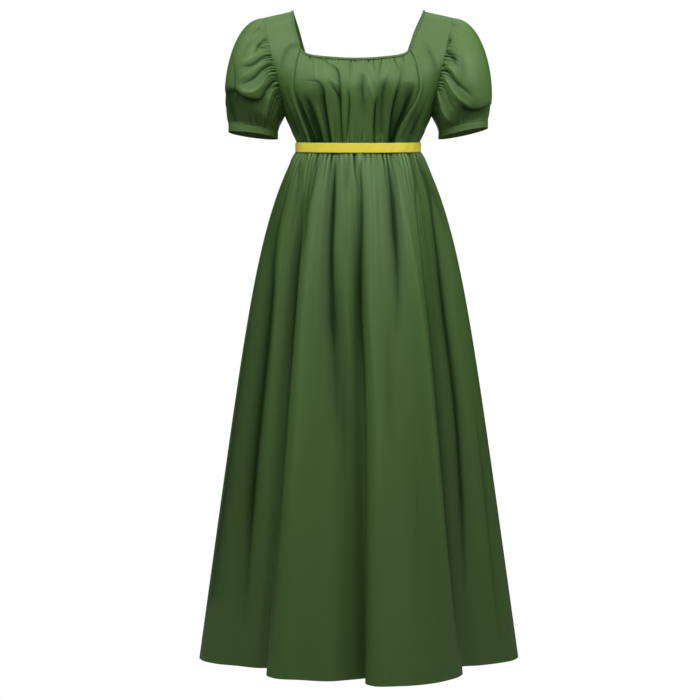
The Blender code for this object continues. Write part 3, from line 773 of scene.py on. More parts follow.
def centre_edges(drop, face):
    """The x of a centre panel's two edges at a drop. Across runs to the left on the front."""
    first, second = (RIGHT, LEFT) if face == FRONT else (LEFT, RIGHT)
    start = SIDE[first] * strap_edge_x[face, first](drop)
    return start, SIDE[second] * strap_edge_x[face, second](drop)


def bodice_centre(face):
    """The panel between the straps, from the neckline to the waist. Down is the drop at its edges."""

    def point(across, down):
        scoop = neck_drop(2 * across - 1, face) - NECK_CORNER_DROP
        above = np.clip((UNDERARM_DROP - down) / (UNDERARM_DROP - NECK_CORNER_DROP), 0, 1)
        drop = down + scoop * above
        start, end = centre_edges(drop, face)
        return form_point(theta_at(start + (end - start) * across, drop, face), drop)

    return point


def bodice_side(face, side):
    """The strap and the plain panel under it, from its inner edge to the armhole and side seam."""
    quarter = SIDE[side] * np.pi / 2
    side_seam = quarter if face == FRONT else np.pi - quarter

    def point(across, drop):
        outward = across if (face == FRONT) == (side == LEFT) else 1 - across
        inner = theta_at(SIDE[side] * strap_edge_x[face, side](drop), drop, face)
        at_armhole = theta_at(SIDE[side] * armhole_x(drop), drop, face)
        outer = np.where(drop < UNDERARM_DROP, at_armhole, side_seam)
        return form_point(inner + (outer - inner) * outward, drop)

    return point


neck_middle = bodice_centre(FRONT)(np.array([0.5]), np.array([NECK_CORNER_DROP]))
print("middle of the neckline:", np.round(neck_middle, 4))

# %% [markdown]
# ## Creases of the bodice front
# The panel is gathered at the neckline and again at the waist, so most of its creases run down
# from the bust and draw together at the ribbon. Long troughs lie under the bust, with ridges
# between them, and short puckers hang from the neck binding. They could come from a row of
# waves, but no two of them are alike, so each row of the table is one crease. These go from the
# wearer's right to the middle.

# %% Creases of the bodice front, right half
BODICE_CREASES = {}
BODICE_CREASES[FRONT] = [
    Crease("beside right seam", 0.003, 0.005, [
        (0.17, -0.127, 0.001), (0.20, -0.121, 0.005), (0.23, -0.110, 0.008), (0.28, -0.092, 0.007)]),
    Crease("right ridge", 0.003, 0.003, [
        (0.19, -0.115, 0), (0.22, -0.106, -0.002), (0.275, -0.085, -0.002)]),
    Crease("hollow under the right bust", 0.018, 0.010, [
        (0.178, -0.106, 0), (0.20, -0.102, 0.003), (0.24, -0.091, 0.005), (0.28, -0.078, 0.006)]),
    Crease("right gather", 0.004, 0.005, [
        (0.185, -0.110, 0), (0.20, -0.101, 0.003), (0.235, -0.089, 0.005), (0.275, -0.077, 0.005)]),
    Crease("right inner ridge", 0.004, 0.003, [
        (0.195, -0.086, 0), (0.215, -0.081, -0.003), (0.25, -0.072, -0.003), (0.28, -0.064, -0.002)]),
    Crease("deep right gather", 0.009, 0.0022, [
        (0.158, -0.098, 0.001), (0.163, -0.080, 0.003), (0.175, -0.071, 0.005), (0.20, -0.067, 0.007),
        (0.28, -0.056, 0.006)]),
    Crease("ridge beside it", 0.003, 0.009, [
        (0.135, -0.067, -0.001), (0.19, -0.063, -0.0015), (0.255, -0.055, -0.001)]),
    Crease("long gather from the neck", 0.004, 0.0018, [
        (0.125, -0.055, 0.002), (0.135, -0.043, 0.0045), (0.165, -0.037, 0.004), (0.19, -0.036, 0.006),
        (0.28, -0.032, 0.004)]),
    Crease("branch into it", 0.005, 0.003, [
        (0.163, -0.058, 0.0005), (0.175, -0.050, 0.0035), (0.187, -0.042, 0.004), (0.20, -0.037, 0.002)]),
    Crease("low hollow beside it", 0.006, 0.004, [
        (0.225, -0.046, 0), (0.25, -0.046, 0.002), (0.275, -0.045, 0.002)]),
    Crease("streak above the branch", 0.0025, 0.003, [
        (0.158, -0.057, -0.0008), (0.165, -0.048, -0.0015), (0.17, -0.041, -0.001)]),
    Crease("ridge right of middle", 0.004, 0.0025, [
        (0.17, -0.027, 0), (0.205, -0.025, -0.0015), (0.235, -0.025, -0.001), (0.275, -0.025, -0.0005)]),
    Crease("middle gather", 0.005, 0.0018, [
        (0.178, -0.020, 0.001), (0.19, -0.018, 0.004), (0.22, -0.018, 0.0045), (0.275, -0.023, 0.003)]),
    Crease("middle pucker", 0.0018, 0.0018, [
        (0.115, -0.016, 0.002), (0.13, -0.017, 0.002), (0.15, -0.016, 0.0005)]),
]
print("creases from the right seam to the middle:", len(BODICE_CREASES[FRONT]))

# %% [markdown]
# The wearer's left half mirrors the right only roughly: it has a broad dip near the middle and a
# deep gather towards the side. Both halves go into one list, because a crease may cross the
# middle.

# %% Creases of the bodice front, left half
BODICE_CREASES[FRONT] += [
    Crease("slanting ridge", 0.004, 0.004, [
        (0.13, 0.003, 0), (0.145, -0.001, -0.0015), (0.165, -0.007, -0.0015), (0.19, -0.013, 0)]),
    Crease("broad dip", 0.008, 0.0045, [
        (0.143, 0.010, 0), (0.155, 0.010, 0.003), (0.175, 0.008, 0.0045), (0.20, 0.010, 0.0035),
        (0.24, 0.014, 0)]),
    Crease("bright ridge", 0.003, 0.0045, [
        (0.145, 0.018, 0), (0.165, 0.021, -0.0025), (0.182, 0.026, -0.003), (0.198, 0.029, -0.001)]),
    Crease("ridge under the neck", 0.003, 0.002, [
        (0.125, 0.025, 0), (0.145, 0.031, -0.001), (0.165, 0.036, -0.0015), (0.18, 0.037, 0)]),
    Crease("soft left dip", 0.008, 0.006, [
        (0.155, 0.058, 0.0015), (0.175, 0.051, 0.005), (0.205, 0.047, 0.004), (0.26, 0.046, 0.003)]),
    Crease("left gather", 0.002, 0.004, [
        (0.19, 0.036, 0.001), (0.21, 0.033, 0.005), (0.245, 0.031, 0.006), (0.28, 0.031, 0.005)]),
    Crease("left pucker", 0.0018, 0.0018, [
        (0.116, 0.030, 0.0025), (0.126, 0.031, 0.0025), (0.14, 0.035, 0)]),
    Crease("second left pucker", 0.0018, 0.0018, [
        (0.116, 0.047, 0.0025), (0.126, 0.044, 0.0025), (0.144, 0.041, 0.0015), (0.164, 0.039, 0.0005)]),
    Crease("third left pucker", 0.0018, 0.0018, [
        (0.113, 0.072, 0.0025), (0.124, 0.077, 0.0025), (0.138, 0.082, 0.001)]),
    Crease("deep left gather", 0.0022, 0.005, [
        (0.124, 0.087, 0.001), (0.155, 0.084, 0.0025), (0.18, 0.077, 0.005), (0.205, 0.070, 0.006),
        (0.275, 0.062, 0.004)]),
    Crease("hollow under the left bust", 0.012, 0.016, [
        (0.16, 0.104, 0), (0.175, 0.101, 0.003), (0.205, 0.092, 0.0045), (0.24, 0.081, 0.0055),
        (0.28, 0.069, 0.006)]),
    Crease("left ridge", 0.003, 0.003, [
        (0.185, 0.094, 0), (0.205, 0.090, -0.0025), (0.235, 0.080, -0.003), (0.27, 0.069, -0.0025)]),
    Crease("beside left seam", 0.005, 0.0028, [
        (0.164, 0.112, 0.0005), (0.19, 0.106, 0.004), (0.215, 0.095, 0.0065), (0.245, 0.081, 0.0065),
        (0.28, 0.068, 0.005)]),
]
print("creases with the left half:", len(BODICE_CREASES[FRONT]))

# %% [markdown]
# Just under the neck binding the stitches pull the cloth into small pits, which are a few
# millimetres wide and stop within a centimetre or two. Two ridges beside them are longer.

# %% Pits under the neck binding
BODICE_CREASES[FRONT] += [
    Crease("right ridge under the neck", 0.002, 0.002, [
        (0.116, -0.087, -0.0005), (0.132, -0.087, -0.0015), (0.154, -0.086, -0.001)]),
    Crease("left ridge under the neck", 0.0018, 0.0018, [
        (0.132, 0.063, -0.0008), (0.144, 0.058, -0.0012), (0.156, 0.052, -0.0008)]),
    Crease("neck pit", 0.0016, 0.0016, [(0.108, -0.098, 0.003), (0.117, -0.093, 0.001)]),
    Crease("second neck pit", 0.0016, 0.0016, [(0.111, -0.075, 0.003), (0.119, -0.072, 0.001)]),
    Crease("third neck pit", 0.0016, 0.0016, [
        (0.113, -0.066, 0.003), (0.122, -0.062, 0.002), (0.13, -0.058, 0)]),
    Crease("fourth neck pit", 0.0018, 0.0018, [(0.115, -0.007, 0.003), (0.123, -0.009, 0.001)]),
    Crease("fifth neck pit", 0.0018, 0.0018, [(0.115, 0.020, 0.004), (0.123, 0.020, 0.001)]),
    Crease("sixth neck pit", 0.0016, 0.0016, [(0.108, 0.090, 0.003), (0.12, 0.094, 0.001)]),
]
print("creases on the bodice front:", len(BODICE_CREASES[FRONT]))

# %% [markdown]
# ## Creases of the bodice back
# The back is drawn up less than the front. Its creases are of the same kind, but fewer and
# thinner, as on a panel that lies flat over the shoulder blades.

# %% Creases of the bodice back
BODICE_CREASES[BACK] = [
    Crease("right back gather", 0.005, 0.003, [
        (0.16, -0.080, 0.0005), (0.19, -0.074, 0.003), (0.23, -0.069, 0.004), (0.28, -0.062, 0.004)]),
    Crease("right back pucker", 0.002, 0.002, [
        (0.10, -0.052, 0.0025), (0.12, -0.049, 0.002), (0.15, -0.046, 0)]),
    Crease("right inner gather", 0.003, 0.004, [
        (0.15, -0.040, 0), (0.18, -0.042, 0.0025), (0.22, -0.039, 0.004), (0.28, -0.036, 0.0035)]),
    Crease("middle back gather", 0.004, 0.0025, [
        (0.10, -0.008, 0.0025), (0.13, -0.010, 0.002), (0.17, -0.006, 0.002), (0.22, -0.008, 0.004),
        (0.28, -0.010, 0.004)]),
    Crease("ridge beside it", 0.004, 0.003, [
        (0.13, 0.004, -0.0005), (0.17, 0.006, -0.002), (0.22, 0.004, -0.0015), (0.27, 0.003, 0)]),
    Crease("left inner gather", 0.0025, 0.005, [
        (0.14, 0.024, 0), (0.18, 0.022, 0.003), (0.23, 0.025, 0.0045), (0.28, 0.023, 0.004)]),
    Crease("left back pucker", 0.002, 0.002, [
        (0.10, 0.038, 0.0025), (0.12, 0.041, 0.002), (0.14, 0.043, 0.0005)]),
    Crease("left back gather", 0.003, 0.003, [
        (0.17, 0.060, 0.0005), (0.20, 0.057, 0.003), (0.24, 0.052, 0.004), (0.28, 0.048, 0.0035)]),
    Crease("outer left gather", 0.003, 0.005, [
        (0.15, 0.090, 0), (0.19, 0.085, 0.0025), (0.23, 0.078, 0.0035), (0.28, 0.071, 0.0035)]),
]
print("creases on the bodice back:", len(BODICE_CREASES[BACK]))

# %% [markdown]
# ## Creases of the straps and side panels
# These panels are plain, so they have only the folds that wearing pulls in: one that bends with
# the strap over the bust, and thin ones that run from the underarm to the waist. The back panels
# get the same folds, mirrored from the other side and a little shallower.

# %% Creases of the straps and side panels
BACK_SIDE_SHARE = 0.8  # depth of the back's folds over the front's
BACK_SIDE_SHIFT = {RIGHT: -0.004, LEFT: 0.003}
OTHER_SIDE = {RIGHT: LEFT, LEFT: RIGHT}
SIDE_CREASES = {}
SIDE_CREASES[FRONT, RIGHT] = [
    Crease("strap fold", 0.004, 0.007, [
        (0.078, -0.127, 0.0025), (0.082, -0.139, 0.003), (0.09, -0.147, 0.003), (0.105, -0.153, 0.0025),
        (0.123, -0.157, 0.0015), (0.143, -0.157, 0)]),
    Crease("towards the waist", 0.003, 0.003, [
        (0.16, -0.145, 0), (0.18, -0.142, 0.0025), (0.21, -0.130, 0.003), (0.24, -0.119, 0.003),
        (0.273, -0.106, 0.0025)]),
    Crease("from the underarm", 0.003, 0.0025, [
        (0.17, -0.156, 0), (0.19, -0.149, 0.002), (0.22, -0.139, 0.0035), (0.257, -0.125, 0.004)]),
    Crease("hollow above the ribbon", 0.012, 0.012, [
        (0.19, -0.140, 0), (0.23, -0.128, 0.003), (0.275, -0.112, 0.004)]),
]
SIDE_CREASES[FRONT, LEFT] = [
    Crease("strap fold", 0.007, 0.004, [
        (0.078, 0.138, 0.001), (0.093, 0.145, 0.003), (0.109, 0.152, 0.003), (0.127, 0.157, 0.0025),
        (0.147, 0.158, 0.001)]),
    Crease("towards the waist", 0.003, 0.003, [
        (0.16, 0.129, 0.001), (0.18, 0.127, 0.003), (0.205, 0.119, 0.003), (0.237, 0.105, 0.003),
        (0.27, 0.088, 0.0025)]),
    Crease("from the underarm", 0.0025, 0.003, [
        (0.168, 0.141, 0), (0.192, 0.137, 0.002), (0.222, 0.127, 0.0035), (0.26, 0.111, 0.004)]),
    Crease("hollow above the ribbon", 0.014, 0.014, [
        (0.18, 0.132, 0), (0.23, 0.118, 0.004), (0.275, 0.102, 0.004)]),
    Crease("beside the side seam", 0.002, 0.002, [
        (0.192, 0.150, 0), (0.217, 0.141, 0.002), (0.245, 0.131, 0.002), (0.273, 0.121, 0.001)]),
]
for side, other in OTHER_SIDE.items():
    others = SIDE_CREASES[FRONT, other]
    SIDE_CREASES[BACK, side] = mirrored(others, BACK_SIDE_SHIFT[side], BACK_SIDE_SHARE)
print("creases on the side panels:", sum(len(rows) for rows in SIDE_CREASES.values()))

# %% [markdown]
# ## Relief of the bodice
# A seam is thicker than the cloth beside it, as its allowances are folded back under one side.
# The centre panel therefore rolls up beside the princess seam and dips in a gutter next to that
# roll. Puckers are added under the neck binding and above the ribbon, as rows of waves, because
# placing nearly seventy of them by hand would show no more. The side panels have their creases
# alone.

# %% Relief of the bodice
RIBBON_WIDTH = 0.020
RIBBON_OVERLAP = 0.001  # the puckers start this far under the ribbon's edge
RIBBON_EDGE = RIBBON_WIDTH / 2 - RIBBON_OVERLAP
NECK_PUCKERS = 38
NECK_PUCKER = 0.0012
NECK_PUCKER_SPRING = 0.002
WAIST_PUCKERS = 29
WAIST_PUCKER = 0.0024
PUCKER_LENGTH = 0.011
SEAM_ROLL = {"width": 0.007, "gutter": 3.0, "height": 0.0022}
PRINCESS_SEAM_HOLD = 0.006  # share of the centre panel's width that its seams hold
SIDE_PANEL_HOLD = 0.04
# How strongly the bodice's relief turns into painted shade in troughs and a painted highlight on crests and
# on the seam roll.
BODICE_SHADE = 1.2


def bodice_relief(face):
    def relief(across, down, place):
        below_neck = down - NECK_CORNER_DROP
        above_waist = WAIST_DROP - down
        above_ribbon = np.maximum(above_waist - RIBBON_EDGE, 0)
        free = clear_of_trim(below_neck) * clear_of_trim(above_waist)
        at_neck = NECK_PUCKER * puckers(across, NECK_PUCKERS, np.exp(-below_neck / PUCKER_LENGTH))
        fade = smoothstep(0, PUCKER_SPRING, above_ribbon) * np.exp(-above_ribbon / PUCKER_LENGTH)
        at_waist = WAIST_PUCKER * puckers(across, WAIST_PUCKERS, fade)
        from_seam = np.minimum(across, 1 - across) / SEAM_ROLL["width"]
        rolled = np.exp(-((from_seam - 1) ** 2)) - np.exp(-((from_seam - SEAM_ROLL["gutter"]) ** 2))
        held = rolled * smoothstep(0, 1, from_seam) * SEAM_ROLL["height"] * free
        waves = crease_relief(place, BODICE_CREASES[face]) + at_waist
        gathered = waves * free * between_seams(across, PRINCESS_SEAM_HOLD)
        height = gathered + at_neck * smoothstep(0, NECK_PUCKER_SPRING, below_neck) + held
        # The second value is painted tone: painted shade in troughs, the seam's gutter and the puckers, and
        # a painted highlight on crests and on the seam roll.
        return height, -BODICE_SHADE * height - PUCKER_SHADE * (at_waist + at_neck)

    return relief


def side_relief(face, side):
    def relief(across, down, place):
        free = clear_of_trim(WAIST_DROP - down) * between_seams(across, SIDE_PANEL_HOLD)
        waves = crease_relief(place, SIDE_CREASES[face, side]) * free
        # Painted shade in the folds' troughs and a painted highlight on their ridges.
        return waves, -waves

    return relief


print("the bodice has", NECK_PUCKERS, "puckers at the neck and", WAIST_PUCKERS, "at the waist")

# %% [markdown]
# ## Bodice front, sides and back
# Each panel is now laid and sewn. The front is three pieces of cloth. The back is one piece with
# both its straps, so its three grids are merged along their shared columns. The width given for
# each grid is the cloth that lies across it, which sets the scale of its weave.

# %% Sewing the bodice
FRONT_GRID = {"columns": 240, "rows": 158, "width": 0.30}
SIDE_GRID = {"columns": 56, "rows": 150, "width": 0.07}
BACK_GRID = {"columns": 150, "rows": 110, "width": 0.20}
BACK_STRAP_GRID = {"columns": 48, "rows": 48, "width": 0.07}
CENTRE_HEIGHT = WAIST_DROP - NECK_CORNER_DROP

panel = relieved(bodice_centre(FRONT), bodice_relief(FRONT), LIFT)
columns = hugging(even(FRONT_GRID["columns"]), FRONT_GRID["width"])
rows = NECK_CORNER_DROP + CENTRE_HEIGHT * hugging(even(FRONT_GRID["rows"]), CENTRE_HEIGHT)
grid = laid_grid("bodice_front", panel, columns, rows, (FRONT_GRID["width"], CENTRE_HEIGHT))
sew("bodice_front", [grid], "cloth", SHELL, OUTWARDS)

columns = hugging(even(SIDE_GRID["columns"]), SIDE_GRID["width"])
rows = WAIST_DROP * hugging(even(SIDE_GRID["rows"]), WAIST_DROP)
for side in SIDE:
    panel = relieved(bodice_side(FRONT, side), side_relief(FRONT, side), LIFT, at_shoulder_seam)
    grid = laid_grid("side", panel, columns, rows, (SIDE_GRID["width"], WAIST_DROP))
    sew(f"side_front_{side}", [grid], "cloth", SHELL, OUTWARDS)

panel = relieved(bodice_centre(BACK), bodice_relief(BACK), LIFT)
columns = even(BACK_GRID["columns"])
rows = NECK_CORNER_DROP + CENTRE_HEIGHT * even(BACK_GRID["rows"])
grids = [laid_grid("back", panel, columns, rows, (BACK_GRID["width"], CENTRE_HEIGHT))]
columns = even(BACK_STRAP_GRID["columns"])
rows = np.concatenate([NECK_CORNER_DROP * even(BACK_STRAP_GRID["rows"])[:-1], rows])
for side in SIDE:
    panel = relieved(bodice_side(BACK, side), side_relief(BACK, side), LIFT, at_shoulder_seam)
    grids.append(laid_grid("strap", panel, columns, rows, (BACK_STRAP_GRID["width"], WAIST_DROP)))
sew("bodice_back", grids, "cloth", SHELL, OUTWARDS)

# %% [markdown]
# ## Neck binding
# The neckline's gathers are held by a narrow bias strip, which is folded over the raw edge all
# round the opening. The gathers inside it make it slightly bumpy. It could be a swept curve, but
# a narrow grid between the neck edge and a line just inside it lies on the form exactly as the
# panels do, and turns the tight corners at the straps without twisting.

# %% The neck binding
TRIM_LIFT = 0.0008  # from the outside of the cloth to a trim that lies on it
BINDING_WIDTH = 0.0045
BINDING_SHELL = 0.0008
BINDING_PUCKERS = 150
BINDING_PUCKER = 0.0006
# Painted shade in the binding's pucker troughs, as a share of the darkest painted shade.
BINDING_SHADE = 0.25  # how dark it is between crests and troughs, as a share of the darkest
BINDING_GRID = {"strap": 60, "neckline": 240, "rows": 5, "width": 1.10}


def neck_line(inset):
    """The edge of the neck opening, or a line this far inside it, as angles and drops on the form."""
    strap = NECK_CORNER_DROP * even(BINDING_GRID["strap"])[:-1]
    share = 2 * even(BINDING_GRID["neckline"]) - 1
    turning_up = np.abs(share) ** NECK_CORNER_POWER
    thetas, drops = [], []
    for face, first, second in ((FRONT, RIGHT, LEFT), (BACK, LEFT, RIGHT)):
        down, up = (strap_edge_x[face, side](strap) + inset for side in (first, second))
        line_drop = neck_drop(share, face)
        start, end = centre_edges(line_drop, face)
        line_x = start + (end - start) * (share + 1) / 2 + np.sign(end * share) * turning_up * inset
        x = np.concatenate([SIDE[first] * down, line_x, SIDE[second] * up[:0:-1]])
        drop = np.concatenate([strap, line_drop + inset * (1 - turning_up), strap[:0:-1]])
        thetas.append(theta_at(x, drop, face))
        drops.append(drop)
    line = np.stack([np.concatenate(thetas), np.concatenate(drops)], axis=-1)
    return np.concatenate([line, line[:1]])


binding_rows = even(BINDING_GRID["rows"])
binding_lines = np.stack([neck_line(inset) for inset in BINDING_WIDTH * binding_rows])
binding_last = binding_lines.shape[1] - 1


def binding(across, down):
    i = np.rint(across * binding_last).astype(int)
    j = np.rint(down * BINDING_GRID["rows"]).astype(int)
    theta, drop = binding_lines[j, i].T
    height = puckers(across, BINDING_PUCKERS, 1) * BINDING_PUCKER
    lift = (CLOTH + TRIM_LIFT + height)[..., None]
    place = form_point(theta, drop) + normals_of(form_point, theta, drop) * lift
    # Painted shade, deepest in the troughs of the binding's puckers and none on their crests.
    return place, DEEP * BINDING_SHADE * (1 - height / BINDING_PUCKER)


size = (BINDING_GRID["width"], BINDING_WIDTH)
grid = laid_grid("binding", binding, even(binding_last), binding_rows, size)
sew("neck_binding", [grid], "cloth", BINDING_SHELL, OUTWARDS)

# %% [markdown]
# ## Waist ribbon
# A satin ribbon lies round the waist seam and covers its gathers. It is a flat strip that
# follows the form, a little proud of the cloth. Slow, slanting waves keep it from looking like a
# moulded band, because a real ribbon lies over uneven gathers. Painted shade darkens it where it
# turns away to the sides and in the troughs of its waves.

# %% The waist ribbon
RIBBON_SHELL = 0.0012
RIBBON_WAVES = 11
RIBBON_WAVE = 0.0005
RIBBON_SLANT = 0.02  # turns by which a wave's lower end lies ahead of its upper end
# Painted shade on the ribbon: in the troughs of its waves and where it turns away to the sides.
RIBBON_SHADE = {"waves": 0.25, "turned_away": 0.35}
RIBBON_GRID = {"columns": 320, "rows": 12, "width": 0.72}


def ribbon_base(across, down):
    theta = 2 * np.pi * across - np.pi / 2
    return form_point(theta, WAIST_DROP + (down - 0.5) * RIBBON_WIDTH / waist_stretch(theta))


def ribbon_relief(across, down, place):
    waves = np.abs(puckers(across + down * RIBBON_SLANT, RIBBON_WAVES, 1))
    turned_away = 1 - np.abs(np.sin(2 * np.pi * across))
    # Painted shade: darker in the wave troughs and towards the sides, where it turns away from the light.
    tone = RIBBON_SHADE["waves"] * (1 - waves) + RIBBON_SHADE["turned_away"] * turned_away
    return waves * RIBBON_WAVE, DEEP * tone


ribbon = relieved(ribbon_base, ribbon_relief, CLOTH + TRIM_LIFT)
columns, rows = even(RIBBON_GRID["columns"]), even(RIBBON_GRID["rows"])
grid = laid_grid("ribbon", ribbon, columns, rows, (RIBBON_GRID["width"], RIBBON_WIDTH))
sew("waist_ribbon", [grid], "ribbon", RIBBON_SHELL, OUTWARDS)

# %% [markdown]
# ## Hem line
# The skirt is two wide panels that meet at the sides. From the waist seam the cloth falls in
# broad lobes, parted by tucks and by the side seams. Those lobes show best at the hem, seen from
# above, so the hem is a table of places round it. All the cloth between the waist and the hem is
# worked out from these two lines.

# %% The hem line
HEM_DROP = 1.340
SKIRT_LENGTH = HEM_DROP - WAIST_DROP

HemPoint = namedtuple("HemPoint", "lobe across x y")
HEM = {}
HEM[FRONT] = [
    HemPoint("right side seam", 0.000, -0.328, 0.003),
    HemPoint("first lobe", 0.060, -0.315, -0.030),
    HemPoint("first lobe", 0.120, -0.285, -0.062),
    HemPoint("first lobe", 0.180, -0.246, -0.082),
    HemPoint("first lobe", 0.225, -0.206, -0.106),
    HemPoint("first tuck", 0.255, -0.173, -0.116),
    HemPoint("first tuck", 0.275, -0.163, -0.152),
    HemPoint("first tuck", 0.295, -0.180, -0.186),
    HemPoint("second lobe", 0.315, -0.166, -0.218),
    HemPoint("second lobe", 0.360, -0.114, -0.238),
    HemPoint("second lobe", 0.410, -0.056, -0.252),
    HemPoint("second lobe", 0.450, -0.008, -0.232),
    HemPoint("centre tuck", 0.480, 0.019, -0.222),
    HemPoint("centre tuck", 0.500, 0.027, -0.243),
    HemPoint("centre tuck", 0.520, 0.014, -0.274),
    HemPoint("third lobe", 0.540, 0.026, -0.300),
    HemPoint("third lobe", 0.590, 0.080, -0.302),
    HemPoint("third lobe", 0.650, 0.130, -0.282),
    HemPoint("third lobe", 0.710, 0.168, -0.246),
    HemPoint("third lobe", 0.755, 0.197, -0.200),
    HemPoint("third tuck", 0.785, 0.203, -0.160),
    HemPoint("third tuck", 0.805, 0.188, -0.128),
    HemPoint("third tuck", 0.825, 0.202, -0.098),
    HemPoint("fourth lobe", 0.870, 0.245, -0.078),
    HemPoint("fourth lobe", 0.920, 0.290, -0.048),
    HemPoint("fourth lobe", 0.965, 0.320, -0.016),
    HemPoint("left side seam", 1.000, 0.332, 0.018),
]
HEM[BACK] = [
    HemPoint("left side seam", 0.000, 0.332, 0.018),
    HemPoint("fifth lobe", 0.060, 0.328, 0.068),
    HemPoint("fifth lobe", 0.120, 0.305, 0.118),
    HemPoint("fifth tuck", 0.165, 0.262, 0.142),
    HemPoint("fifth tuck", 0.190, 0.243, 0.172),
    HemPoint("fifth tuck", 0.215, 0.252, 0.208),
    HemPoint("sixth lobe", 0.260, 0.218, 0.246),
    HemPoint("sixth lobe", 0.330, 0.156, 0.270),
    HemPoint("sixth lobe", 0.400, 0.094, 0.276),
    HemPoint("back tuck", 0.445, 0.050, 0.252),
    HemPoint("back tuck", 0.475, 0.020, 0.238),
    HemPoint("back tuck", 0.505, -0.004, 0.266),
    HemPoint("seventh lobe", 0.550, -0.046, 0.292),
    HemPoint("seventh lobe", 0.620, -0.112, 0.292),
    HemPoint("seventh lobe", 0.690, -0.172, 0.264),
    HemPoint("seventh tuck", 0.740, -0.210, 0.222),
    HemPoint("seventh tuck", 0.765, -0.210, 0.184),
    HemPoint("seventh tuck", 0.795, -0.230, 0.152),
    HemPoint("eighth lobe", 0.860, -0.283, 0.122),
    HemPoint("eighth lobe", 0.930, -0.317, 0.068),
    HemPoint("right side seam", 1.000, -0.328, 0.003),
]
print("hem points:", {face: len(points) for face, points in HEM.items()})

# %% [markdown]
# ## Creases of the skirt
# Gathers of many lengths hang from the ribbon. Most die out within a hand's breadth, a few run on
# into the tucks between the lobes, and those reach the hem. They are placed one by one, because
# their uneven lengths are what makes gathered cloth look real. These rows go from the wearer's
# right to the middle.

# %% Creases of the skirt, right side
SKIRT_CREASES = {}
SKIRT_CREASES[FRONT] = [
    Crease("right flank tuck", 0.014, 0.007, [
        (0.32, -0.134, 0.001), (0.38, -0.148, 0.003), (0.46, -0.167, 0.005), (0.60, -0.177, 0.007),
        (1.00, -0.215, 0.007), (1.28, -0.230, 0)]),
    Crease("outer right fold", 0.010, 0.010, [
        (0.325, -0.146, 0.0015), (0.37, -0.161, 0.002), (0.415, -0.173, 0.0015), (0.52, -0.192, 0)]),
    Crease("right edge in shade", 0.030, 0.018, [
        (0.48, -0.214, 0.002), (0.70, -0.245, 0.005), (0.95, -0.275, 0.005), (1.20, -0.300, 0.003)]),
    Crease("thin right gather", 0.004, 0.004, [
        (0.305, -0.118, 0.0025), (0.385, -0.125, 0.002), (0.45, -0.135, 0.0015), (0.515, -0.146, 0)]),
    Crease("second tuck", 0.009, 0.0035, [
        (0.335, -0.113, 0.001), (0.455, -0.116, 0.004), (0.53, -0.122, 0.008), (0.64, -0.130, 0.008),
        (0.80, -0.141, 0.005), (1.29, -0.171, 0.001)]),
    Crease("gather that joins it", 0.005, 0.004, [
        (0.30, -0.081, 0.004), (0.355, -0.090, 0.005), (0.415, -0.103, 0.005), (0.48, -0.109, 0.003),
        (0.525, -0.115, 0)]),
    Crease("right pucker", 0.002, 0.002, [
        (0.30, -0.106, 0.0025), (0.31, -0.104, 0.0025), (0.325, -0.102, 0)]),
    Crease("second right pucker", 0.0018, 0.0018, [
        (0.30, -0.094, 0.002), (0.307, -0.093, 0.0015), (0.313, -0.092, 0)]),
    Crease("slanting gather", 0.004, 0.002, [
        (0.30, -0.057, 0.0025), (0.317, -0.067, 0.002), (0.34, -0.073, 0.0015), (0.365, -0.071, 0)]),
    Crease("right middle gather", 0.010, 0.006, [
        (0.30, -0.047, 0.005), (0.40, -0.050, 0.009), (0.50, -0.054, 0.009), (0.60, -0.052, 0.004),
        (0.70, -0.047, 0)]),
    Crease("middle pucker", 0.0018, 0.0018, [
        (0.30, -0.034, 0.002), (0.307, -0.032, 0.0015), (0.313, -0.031, 0)]),
    Crease("short middle gather", 0.002, 0.002, [
        (0.30, -0.019, 0.003), (0.317, -0.018, 0.0025), (0.327, -0.018, 0.001)]),
    Crease("dip below it", 0.005, 0.003, [
        (0.323, -0.022, 0.002), (0.347, -0.021, 0.004), (0.367, -0.022, 0.003), (0.39, -0.021, 0)]),
]
print("creases on the right of the skirt:", len(SKIRT_CREASES[FRONT]))

# %% [markdown]
# At the middle two gathers run together like a fork and go on as the centre tuck, which is the
# sharpest line of the skirt. To its left the puckers lean outwards, and a thin line and the left
# flank tuck run almost to the hem.

